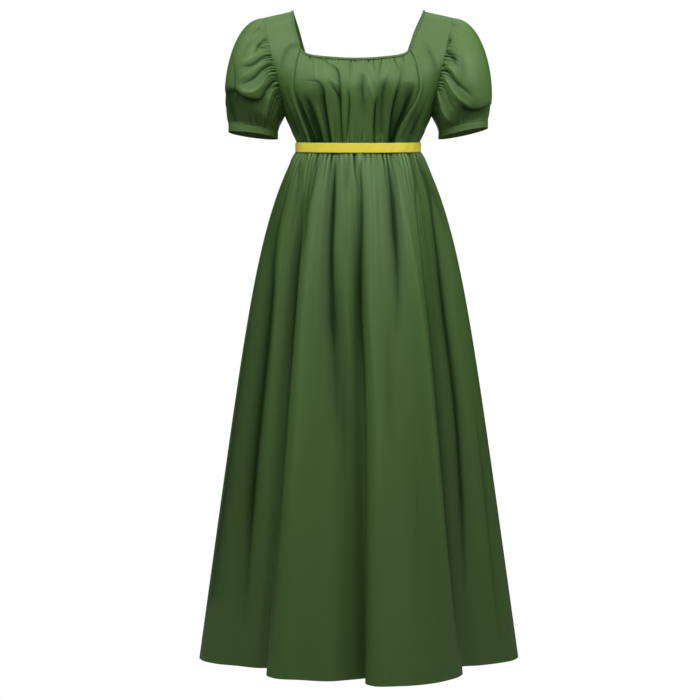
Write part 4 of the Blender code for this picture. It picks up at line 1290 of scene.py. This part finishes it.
# %% Creases of the skirt, middle and left
SKIRT_CREASES[FRONT] += [
    Crease("fork, right branch", 0.0022, 0.0022, [
        (0.30, -0.010, 0.003), (0.347, -0.006, 0.0025), (0.375, -0.001, 0.0025), (0.447, 0.000, 0.002)]),
    Crease("fork, left branch", 0.0035, 0.003, [
        (0.30, 0.011, 0.003), (0.325, 0.006, 0.004), (0.39, 0.006, 0.004), (0.467, 0.005, 0.001)]),
    Crease("centre tuck", 0.007, 0.003, [
        (0.407, 0.006, 0.002), (0.48, 0.004, 0.007), (0.557, 0.003, 0.008), (0.637, 0.004, 0.007),
        (0.756, 0.010, 0.004), (0.893, 0.014, 0.002), (1.29, 0.016, 0.001)]),
    Crease("left of the fork", 0.003, 0.003, [
        (0.30, 0.023, 0.002), (0.315, 0.027, 0.002), (0.335, 0.030, 0.0015), (0.367, 0.026, 0.0005)]),
    Crease("faint line below", 0.003, 0.003, [(0.357, 0.039, 0), (0.405, 0.039, 0.0012), (0.46, 0.035, 0)]),
    Crease("left pucker", 0.0022, 0.0022, [(0.30, 0.043, 0.003), (0.311, 0.048, 0.002), (0.329, 0.053, 0)]),
    Crease("left middle gather", 0.011, 0.008, [
        (0.30, 0.057, 0.004), (0.40, 0.070, 0.009), (0.46, 0.074, 0.009), (0.53, 0.078, 0.006),
        (0.70, 0.076, 0)]),
    Crease("second left pucker", 0.0022, 0.0022, [
        (0.30, 0.067, 0.003), (0.311, 0.071, 0.002), (0.323, 0.080, 0.001)]),
    Crease("slanting left line", 0.003, 0.003, [
        (0.317, 0.078, 0), (0.36, 0.103, 0.0015), (0.397, 0.111, 0)]),
    Crease("third left pucker", 0.002, 0.002, [
        (0.30, 0.086, 0.0025), (0.309, 0.089, 0.0015), (0.317, 0.092, 0)]),
    Crease("fourth left pucker", 0.0018, 0.0018, [(0.30, 0.096, 0.002), (0.307, 0.098, 0)]),
    Crease("third tuck's gather", 0.003, 0.0035, [
        (0.30, 0.103, 0.004), (0.35, 0.114, 0.0045), (0.407, 0.116, 0.0035), (0.47, 0.123, 0.002)]),
    Crease("thin line down the left", 0.0025, 0.008, [
        (0.46, 0.121, 0.002), (0.557, 0.130, 0.003), (0.667, 0.142, 0.005), (0.834, 0.157, 0.0055),
        (1.07, 0.176, 0.0055), (1.283, 0.195, 0.002)]),
    Crease("left flank tuck", 0.008, 0.004, [
        (0.31, 0.121, 0.0025), (0.371, 0.145, 0.005), (0.461, 0.157, 0.006), (0.617, 0.174, 0.008),
        (0.80, 0.198, 0.008), (0.99, 0.210, 0.007), (1.215, 0.215, 0)]),
    Crease("outer left fold", 0.006, 0.005, [
        (0.31, 0.123, 0.002), (0.377, 0.155, 0.0035), (0.42, 0.170, 0.003), (0.467, 0.183, 0)]),
    Crease("left side line", 0.003, 0.005, [
        (0.765, 0.232, 0), (0.902, 0.250, 0.0025), (1.147, 0.274, 0.0025), (1.283, 0.288, 0.001)]),
]
print("creases with the middle and left:", len(SKIRT_CREASES[FRONT]))

# %% [markdown]
# Lower down, where the cloth hangs free, soft dips lie between the tucks, and the edges of the
# lobes stand out as pale ridges beside them. The back of the skirt gets a mirrored, shallower set
# of all these creases, swung a little to one side so that the two don't match.

# %% Soft dips and ridges of the skirt
BACK_SWING = -0.012
BACK_SKIRT_SHARE = 0.85
SKIRT_CREASES[FRONT] += [
    Crease("shade below the right gather", 0.016, 0.018, [
        (0.50, -0.055, 0), (0.64, -0.050, 0.006), (0.75, -0.044, 0.004), (0.90, -0.042, 0)]),
    Crease("soft dip right of middle", 0.008, 0.007, [
        (0.725, -0.031, 0), (0.85, -0.027, 0.002), (0.98, -0.031, 0)]),
    Crease("soft dip left of middle", 0.007, 0.007, [
        (0.62, 0.058, 0), (0.70, 0.057, 0.002), (0.80, 0.060, 0.002), (0.93, 0.065, 0)]),
    Crease("soft low dip", 0.007, 0.007, [(0.883, 0.107, 0), (1.03, 0.115, 0.0015), (1.225, 0.107, 0)]),
    Crease("right flank ridge", 0.008, 0.009, [
        (0.427, -0.151, 0), (0.517, -0.158, -0.002), (0.80, -0.175, -0.002), (1.147, -0.195, 0)]),
    Crease("second lobe's ridge", 0.005, 0.010, [
        (0.48, -0.093, -0.001), (0.58, -0.105, -0.002), (0.835, -0.121, -0.002), (1.11, -0.139, 0)]),
    Crease("ridge before the centre", 0.005, 0.005, [
        (0.48, -0.027, 0), (0.55, -0.024, -0.002), (0.66, -0.020, -0.002), (0.785, -0.011, 0)]),
    Crease("third lobe's edge", 0.004, 0.009, [
        (0.457, 0.015, -0.001), (0.60, 0.021, -0.002), (0.85, 0.036, -0.002), (1.11, 0.032, 0)]),
    Crease("ridge before the thin line", 0.009, 0.004, [
        (0.377, 0.083, -0.001), (0.497, 0.107, -0.002), (0.657, 0.128, -0.0025), (0.90, 0.150, -0.0025),
        (1.147, 0.169, 0)]),
    Crease("left flank ridge", 0.005, 0.008, [
        (0.48, 0.183, 0), (0.617, 0.194, -0.002), (0.86, 0.226, -0.0015), (1.205, 0.258, 0)]),
]
SKIRT_CREASES[BACK] = mirrored(SKIRT_CREASES[FRONT], BACK_SWING, BACK_SKIRT_SHARE)
print("creases on each side of the skirt:", len(SKIRT_CREASES[FRONT]))

# %% [markdown]
# ## Shape of the skirt
# Gathered cloth springs away from the ribbon at once and then widens evenly to the hem, so the
# skirt flares quickly at first and slowly after. Three things are added to that shape: the
# creases, a soft fullness just below the ribbon, and two rows of puckers. The short ones stand
# at the seam, and fine ripples run on below them.

# %% The shape of the skirt
FLARE = {"starts": 0.012, "quick_share": 0.29, "quick_reach": 0.130}
WAIST_GAP = 0.0006
SKIRT_PUCKERS = 36
SKIRT_PUCKER = {"height": 0.0040, "reach": 0.022}
SKIRT_RIPPLES = 47
SKIRT_RIPPLE = {"height": 0.0006, "reach": 0.16}
FULLNESS = {"height": 0.0030, "start": 0.02, "reach": 0.10}


def flare(below_seam):
    """How far the skirt has widened: a quick spring below the ribbon, then an even spread."""
    share = np.clip((below_seam - FLARE["starts"]) / (SKIRT_LENGTH - FLARE["starts"]), 0, 1)
    quick = 1 - np.exp(-share / FLARE["quick_reach"])
    return FLARE["quick_share"] * quick + (1 - FLARE["quick_share"]) * share


def skirt_base(face):
    """From the waist seam to the hem. Down is a share of the length below the waist seam."""
    hem_x, hem_y = column(HEM[face], "x", "across"), column(HEM[face], "y", "across")
    start = -np.pi / 2 if face == FRONT else np.pi / 2

    def base(across, down):
        top = form_point(start + np.pi * across, WAIST_DROP + WAIST_GAP)
        level = np.full(across.shape, -HEM_DROP)
        bottom = np.stack([hem_x(across), hem_y(across), level], axis=-1)
        spread = flare(down * SKIRT_LENGTH)[..., None]
        return top + (bottom - top) * np.concatenate([spread, spread, down[..., None]], axis=-1)

    return base


def skirt_relief(face):
    def relief(across, down, place):
        below_ribbon = np.maximum(down * SKIRT_LENGTH - RIBBON_EDGE, 0)
        sprung = smoothstep(0, PUCKER_SPRING, below_ribbon)
        fine = 0
        for count, kind in ((SKIRT_PUCKERS, SKIRT_PUCKER), (SKIRT_RIPPLES, SKIRT_RIPPLE)):
            fade = sprung * np.exp(-below_ribbon / kind["reach"])
            fine = fine + puckers(across, count, fade) * kind["height"]
        gathered = crease_relief(place, SKIRT_CREASES[face]) + fine
        waves = gathered * clear_of_trim(down * SKIRT_LENGTH) * between_seams(across, SIDE_SEAM_HOLD)
        springing = smoothstep(0, FULLNESS["start"], below_ribbon)
        fullness = FULLNESS["height"] * springing * np.exp(-below_ribbon / FULLNESS["reach"])
        # The second value is painted tone: painted shade in troughs, more in the puckers, and a painted
        # highlight on crests.
        return waves + fullness, -waves - PUCKER_SHADE * fine

    return relief


print("half of the way down the skirt has flared by", np.round(flare(SKIRT_LENGTH / 2), 3))

# %% [markdown]
# ## Skirt front and back
# A grid with even columns would blur the crisp tucks, and a finer one would be needlessly heavy
# between them. Its columns are therefore crowded where the sharpest folds run, and its rows lie
# closer together near the ribbon, where the gathers are small. The back has fewer columns, as its
# folds are softer.

# %% Sewing the skirt
SKIRT_COLUMNS = {FRONT: 410, BACK: 280}
SKIRT_GRID = {"rows": 108, "closer_at_top": 1.45, "width": 1.30, "hem": 1.10}
SHARP_SPOTS = (0.22, 0.29, 0.38, 0.50, 0.66, 0.72, 0.80)
SHARP_SPOT_WIDTH = 0.022
CROWDING = 2.0  # columns near a spot, beyond the even ones
FINE_STEPS = 2000


def crowded(count, spots, width):
    """Shares from 0 to 1 that lie closer together near some spots, for creases that need them."""
    fine = np.linspace(0, 1, FINE_STEPS)
    density = 1 + CROWDING * sum(np.exp(-(((fine - spot) / width) ** 2)) for spot in spots)
    total = np.concatenate([[0], np.cumsum(density[1:] + density[:-1])])
    return np.interp(even(count) * total[-1], total, fine)


rows = hugging(even(SKIRT_GRID["rows"]) ** SKIRT_GRID["closer_at_top"], SKIRT_LENGTH)
for face, count in SKIRT_COLUMNS.items():
    panel = relieved(skirt_base(face), skirt_relief(face), LIFT, at_side_seam)
    columns = hugging(crowded(count, SHARP_SPOTS, SHARP_SPOT_WIDTH), SKIRT_GRID["hem"])
    grid = laid_grid("skirt", panel, columns, rows, (SKIRT_GRID["width"], SKIRT_LENGTH))
    sew(f"skirt_{face}", [grid], "cloth", SHELL, OUTWARDS)

# %% [markdown]
# ## Cuffs and armholes
# A puffed sleeve hangs between two rings: the armhole, which is cut in the bodice, and the cuff,
# a narrow band that is tilted up at its outer side. Both rings are functions of a turn, which is
# 0 at the outer side or shoulder and a quarter at the front. The sleeve's edge is tucked just
# inside the armhole, as its seam is.

# %% The rings that hold a sleeve
SEAM_GAP = 0.0003
HEAD_LIFT = 0.0005
HEAD_TUCK = 0.0020
CUFF_WIDTH = 0.0145
CUFF = {"x": 0.2175, "half_width": 0.0515, "half_depth": 0.0480}
CUFF_DROP = {RIGHT: 0.248, LEFT: 0.244}
CUFF_TILT = {RIGHT: 0.13, LEFT: 0.21}


def cuff_ring(turn, side, down):
    """The outside of a cuff. Turn is 0 at its outer side and a quarter at the front."""
    x = CUFF["half_width"] * np.cos(turn)
    y = -CUFF["half_depth"] * np.sin(turn)
    z = -CUFF_DROP[side] + CUFF_WIDTH * (0.5 - down) + CUFF_TILT[side] * x
    return np.stack([SIDE[side] * (CUFF["x"] + x), y, z], axis=-1)


def armhole_ring(turn, side):
    """Just inside the armhole's edge. Turn is 0 at the shoulder and a quarter at the front."""
    drop = UNDERARM_DROP * (1 - np.cos(turn)) / 2
    at_front = np.sin(turn) >= 0
    x = SIDE[side] * armhole_x(drop)
    theta = np.where(at_front, theta_at(x, drop, FRONT), theta_at(x, drop, BACK))
    edge = form_point(theta, drop) + normals_of(form_point, theta, drop) * HEAD_LIFT
    return edge - np.array([SIDE[side] * HEAD_TUCK, 0, 0])


print("armhole from", armhole_ring(np.zeros(1), LEFT)[0].round(3), "to", armhole_ring(np.pi, LEFT).round(3))

# %% [markdown]
# ## Shape of a sleeve
# Between the rings each line of the sleeve is one Bezier curve. The table says, for five places
# round the sleeve, how its two handles reach out, forward and up. The head stands up and out at
# the shoulder, and the foot swells over the cuff at the outer side. A Subdivision cage could
# give this shape too, but a Bezier keeps the edges exactly on both rings.

# %% The shape of a sleeve
SleeveTurn = namedtuple(
    "SleeveTurn", "degrees head_out head_forward head_up foot_out foot_forward foot_up"
)
SLEEVE_TURNS = [
    SleeveTurn(0, 0.078, 0.000, 0.003, 0.020, 0.000, 0.044),
    SleeveTurn(45, 0.064, 0.030, 0.006, 0.016, 0.018, 0.046),
    SleeveTurn(90, 0.046, 0.040, 0.004, 0.008, 0.030, 0.046),
    SleeveTurn(135, 0.024, 0.026, -0.004, 0.002, 0.020, 0.028),
    SleeveTurn(180, 0.006, 0.000, -0.012, -0.002, 0.000, 0.010),
]
sleeve_reach = {name: column(SLEEVE_TURNS, name, "degrees") for name in SleeveTurn._fields[1:]}


def turn_at(across, side):
    """The turn round a sleeve or cuff at a share of its width. The left one runs the other way."""
    return 2 * np.pi * (across if side == RIGHT else -across)


def sleeve_base(side):
    """A puffed sleeve: each line from the armhole to the cuff is one Bezier curve."""

    def handle(end, turn):
        degrees = np.degrees(turn)
        half = np.minimum(degrees, 360 - degrees)
        front = np.where(degrees <= 180, -1, 1)
        out, forward, up = (sleeve_reach[f"{end}_{way}"](half) for way in ("out", "forward", "up"))
        return np.stack([SIDE[side] * out, front * forward, up], axis=-1)

    def base(across, down):
        turn = 2 * np.pi * ((across if side == RIGHT else -across) % 1)
        start = armhole_ring(turn, side)
        end = cuff_ring(turn, side, np.zeros(turn.shape)) + np.array([0, 0, SEAM_GAP])
        leaving, arriving = start + handle("head", turn), end + handle("foot", turn)
        down = down[..., None]
        up = 1 - down
        return up**3 * start + 3 * up**2 * down * leaving + 3 * up * down**2 * arriving + down**3 * end

    return base


middle = sleeve_base(LEFT)(np.array([0.0]), np.array([0.5]))
print("outer side of the left sleeve:", np.round(middle, 3))

# %% [markdown]
# ## Creases of the sleeves
# The two sleeves were sewn alike but hang in different folds. Most folds start at the crowded
# gathers of the armhole and die out across the puff. Near its lowest part each sleeve turns
# under in one deep fold above the cuff. The back of a sleeve gets the folds of the other
# sleeve's front, a little shallower.

# %% Creases of the sleeves
BACK_SLEEVE_SHARE = 0.9
BACK_SLEEVE_SHIFT = {RIGHT: -0.003, LEFT: 0.003}
SLEEVE_CREASES = {}
SLEEVE_CREASES[FRONT, RIGHT] = [
    Crease("head pucker", 0.003, 0.003, [
        (0.040, -0.201, 0.003), (0.049, -0.214, 0.0025), (0.055, -0.231, 0.0005)]),
    Crease("soft head fold", 0.005, 0.005, [
        (0.058, -0.200, 0.001), (0.073, -0.220, 0.002), (0.102, -0.235, 0.0005)]),
    Crease("hooked fold", 0.0025, 0.004, [
        (0.064, -0.188, 0.004), (0.079, -0.203, 0.005), (0.092, -0.208, 0.0025), (0.100, -0.212, 0.0005)]),
    Crease("the hook's foot", 0.002, 0.002, [(0.084, -0.188, 0.003), (0.083, -0.201, 0.003)]),
    Crease("upper fold", 0.003, 0.005, [
        (0.099, -0.181, 0.005), (0.109, -0.198, 0.005), (0.123, -0.216, 0.005), (0.127, -0.239, 0.001)]),
    Crease("middle fold", 0.003, 0.005, [
        (0.119, -0.179, 0.005), (0.132, -0.196, 0.005), (0.151, -0.213, 0.005), (0.161, -0.235, 0.0005)]),
    Crease("lower fold", 0.005, 0.003, [
        (0.154, -0.170, 0.005), (0.164, -0.179, 0.006), (0.172, -0.187, 0.006), (0.184, -0.193, 0.005)]),
    Crease("lobe under the lower fold", 0.005, 0.005, [
        (0.168, -0.172, -0.001), (0.184, -0.182, -0.003), (0.202, -0.188, -0.003),
        (0.225, -0.193, -0.002)]),
    Crease("underarm line", 0.0018, 0.0018, [
        (0.178, -0.166, 0.003), (0.208, -0.181, 0.003), (0.236, -0.189, 0.0015)]),
    Crease("second underarm line", 0.0018, 0.0018, [
        (0.185, -0.163, 0.0025), (0.207, -0.174, 0.0025), (0.226, -0.181, 0.001)]),
    Crease("outer dip", 0.004, 0.004, [
        (0.106, -0.255, 0.001), (0.137, -0.250, 0.003), (0.167, -0.249, 0.003), (0.191, -0.247, 0.001)]),
    Crease("ridge over the upper fold", 0.004, 0.006, [
        (0.096, -0.196, -0.001), (0.106, -0.212, -0.0025), (0.114, -0.228, -0.002), (0.116, -0.241, 0)]),
    Crease("ridge over the middle fold", 0.004, 0.006, [
        (0.116, -0.192, -0.0015), (0.130, -0.208, -0.0025), (0.142, -0.224, -0.0025), (0.149, -0.239, 0)]),
    Crease("puff", 0.006, 0.008, [
        (0.146, -0.186, 0), (0.165, -0.200, -0.003), (0.176, -0.214, -0.004), (0.172, -0.232, -0.003),
        (0.160, -0.246, 0)]),
    Crease("turned under", 0.022, 0.0022, [
        (0.166, -0.272, 0.006), (0.172, -0.248, 0.007), (0.184, -0.231, 0.007), (0.190, -0.214, 0.007),
        (0.189, -0.200, 0.005), (0.182, -0.192, 0.001)]),
    Crease("shade at the outside", 0.014, 0.016, [
        (0.180, -0.266, 0.002), (0.205, -0.262, 0.005), (0.235, -0.255, 0.004)]),
]
SLEEVE_CREASES[FRONT, LEFT] = [
    Crease("head pucker", 0.002, 0.002, [
        (0.030, 0.184, 0.002), (0.033, 0.196, 0.002), (0.037, 0.209, 0.0005)]),
    Crease("two pits", 0.003, 0.003, [
        (0.045, 0.178, 0.002), (0.057, 0.180, 0.0045), (0.067, 0.186, 0.005), (0.077, 0.175, 0.0045),
        (0.081, 0.170, 0.002)]),
    Crease("big wedge", 0.006, 0.006, [
        (0.089, 0.172, 0.004), (0.094, 0.182, 0.006), (0.107, 0.193, 0.0065), (0.124, 0.200, 0.001)]),
    Crease("long fold", 0.004, 0.003, [
        (0.115, 0.166, 0.004), (0.138, 0.183, 0.005), (0.161, 0.202, 0.005), (0.180, 0.224, 0.0015)]),
    Crease("ridge over it", 0.004, 0.004, [
        (0.112, 0.172, -0.001), (0.123, 0.184, -0.0025), (0.137, 0.194, -0.0025), (0.149, 0.201, -0.0005)]),
    Crease("ridge under it", 0.004, 0.004, [
        (0.127, 0.167, -0.001), (0.158, 0.184, -0.003), (0.190, 0.207, -0.003), (0.208, 0.235, 0)]),
    Crease("fold that turns under", 0.003, 0.003, [
        (0.150, 0.168, 0.002), (0.175, 0.180, 0.0025), (0.200, 0.192, 0.0015), (0.215, 0.207, 0)]),
    Crease("low ridge", 0.007, 0.007, [
        (0.158, 0.160, -0.002), (0.185, 0.168, -0.006), (0.210, 0.178, -0.007), (0.228, 0.188, -0.006)]),
    Crease("underarm line", 0.002, 0.002, [
        (0.190, 0.157, 0.0015), (0.215, 0.170, 0.001), (0.235, 0.183, 0.0005)]),
    Crease("seam pucker", 0.0016, 0.0016, [
        (0.157, 0.161, 0.0025), (0.171, 0.166, 0.0025), (0.185, 0.172, 0.001)]),
    Crease("soft upright dip", 0.005, 0.005, [
        (0.106, 0.210, 0.0005), (0.126, 0.210, 0.002), (0.147, 0.210, 0.0005)]),
    Crease("soft upright ridge", 0.004, 0.005, [
        (0.090, 0.220, 0), (0.116, 0.219, -0.0015), (0.145, 0.218, 0)]),
    Crease("turned under", 0.016, 0.0022, [
        (0.196, 0.205, 0.001), (0.203, 0.213, 0.006), (0.209, 0.225, 0.007), (0.207, 0.250, 0.007),
        (0.195, 0.270, 0.003)]),
]
for side, other in OTHER_SIDE.items():
    others = SLEEVE_CREASES[FRONT, other]
    SLEEVE_CREASES[BACK, side] = mirrored(others, BACK_SLEEVE_SHIFT[side], BACK_SLEEVE_SHARE)
print("creases on the sleeves:", sum(len(rows) for rows in SLEEVE_CREASES.values()))

# %% [markdown]
# ## Relief of the sleeves
# The sleeve head is wider than the armhole, and its extra cloth is drawn up in gathers that are
# most crowded at one height in front. A second, weaker row holds the foot in the cuff. The puff
# bulges to the front and the back, and the front's folds pass softly into the back's at the
# outer side.

# %% Relief of the sleeves
PUFF = {"height": 0.009, "full": 0.66, "turns": 0.74, "flat": 0.97}
HEAD_PUCKERS = 92
HEAD_PUCKER = {"height": 0.0036, "reach": 0.10}
FOOT_PUCKER_SHARE = 0.5
CROWDED_HEAD = {RIGHT: 0.30, LEFT: 0.70}
CROWDED_WIDTH = 0.10
UNCROWDED_SHARE = 0.25
ARMHOLE_HOLD = 0.02
SIDE_BLEND = 0.35


def sleeve_relief(side):
    def relief(across, down, place):
        forward = np.sin(turn_at(across, side))
        front = crease_relief(place, SLEEVE_CREASES[FRONT, side])
        back = crease_relief(place, SLEEVE_CREASES[BACK, side])
        front_share = smoothstep(-SIDE_BLEND, SIDE_BLEND, forward)
        waves = front * front_share + back * (1 - front_share)
        full = smoothstep(0, PUFF["full"], down) * (1 - smoothstep(PUFF["turns"], PUFF["flat"], down))
        puff = PUFF["height"] * full * np.abs(forward)
        at_head = np.exp(-down / HEAD_PUCKER["reach"])
        at_foot = FOOT_PUCKER_SHARE * np.exp((down - 1) / HEAD_PUCKER["reach"])
        crowd = UNCROWDED_SHARE + np.exp(-(((across - CROWDED_HEAD[side]) / CROWDED_WIDTH) ** 2))
        gathers = HEAD_PUCKER["height"] * crowd * puckers(across, HEAD_PUCKERS, at_head + at_foot)
        creased = (waves + gathers) * between_seams(down, ARMHOLE_HOLD)
        # The second value is painted tone: painted shade in troughs, more in the gathers, and a painted
        # highlight on crests.
        return creased + puff, -creased - PUCKER_SHADE * gathers

    return relief


print("puckers round each sleeve head:", HEAD_PUCKERS)

# %% [markdown]
# ## Sleeves and cuffs
# Each sleeve is a grid rolled into a tube, whose first and last columns are merged along the
# outer side. Its columns are crowded at the gathers. The cuffs are plain rings. Both are laid on
# the outside of their solids, so here the wall grows inwards.

# %% Sewing the sleeves and cuffs
SLEEVE_GRID = {"columns": 330, "rows": 96, "closer_at_top": 1.15, "width": 0.45, "length": 0.24}
SLEEVE_DROP = 0.20
CROWDED_COLUMNS_WIDTH = 0.12
CUFF_GRID = {"columns": 200, "rows": 14, "width": 0.31}
CUFF_SHELL = 0.0014


def cuff_base(side):
    def base(across, down):
        return cuff_ring(turn_at(across, side), side, down)

    return base


def plain(across, down, place):
    return np.zeros(across.shape), np.zeros(across.shape)


for side in SIDE:
    sleeve = relieved(sleeve_base(side), sleeve_relief(side))
    columns = crowded(SLEEVE_GRID["columns"], (CROWDED_HEAD[side],), CROWDED_COLUMNS_WIDTH)
    rows = hugging(even(SLEEVE_GRID["rows"]) ** SLEEVE_GRID["closer_at_top"], SLEEVE_DROP)
    grid = laid_grid("sleeve", sleeve, columns, rows, (SLEEVE_GRID["width"], SLEEVE_GRID["length"]))
    sew(f"sleeve_{side}", [grid], "cloth", SHELL, INWARDS)
    cuff = relieved(cuff_base(side), plain)
    columns, rows = even(CUFF_GRID["columns"]), even(CUFF_GRID["rows"])
    grid = laid_grid("cuff", cuff, columns, rows, (CUFF_GRID["width"], CUFF_WIDTH))
    sew(f"cuff_{side}", [grid], "cloth", CUFF_SHELL, INWARDS)

# %% [markdown]
# ## The cut of each piece
# Every piece was cut flat before it was sewn. This cell only sets up a record for the size of
# such a cut, with its width, length, area, held and rests_on; no piece is given one here. A cut
# would count only the cloth that shows, without seam allowances and turnings, with the sleeves,
# cuffs, ribbon and binding measured all the way round. A panel that isn't a rectangle would also
# give its flat area: the skirt panels widen towards the hem, the sleeve heads and armholes are
# curved, and half of the binding's width lies inside the neck.

# %% Flat sizes
Cut = namedtuple("Cut", "width length area held rests_on")
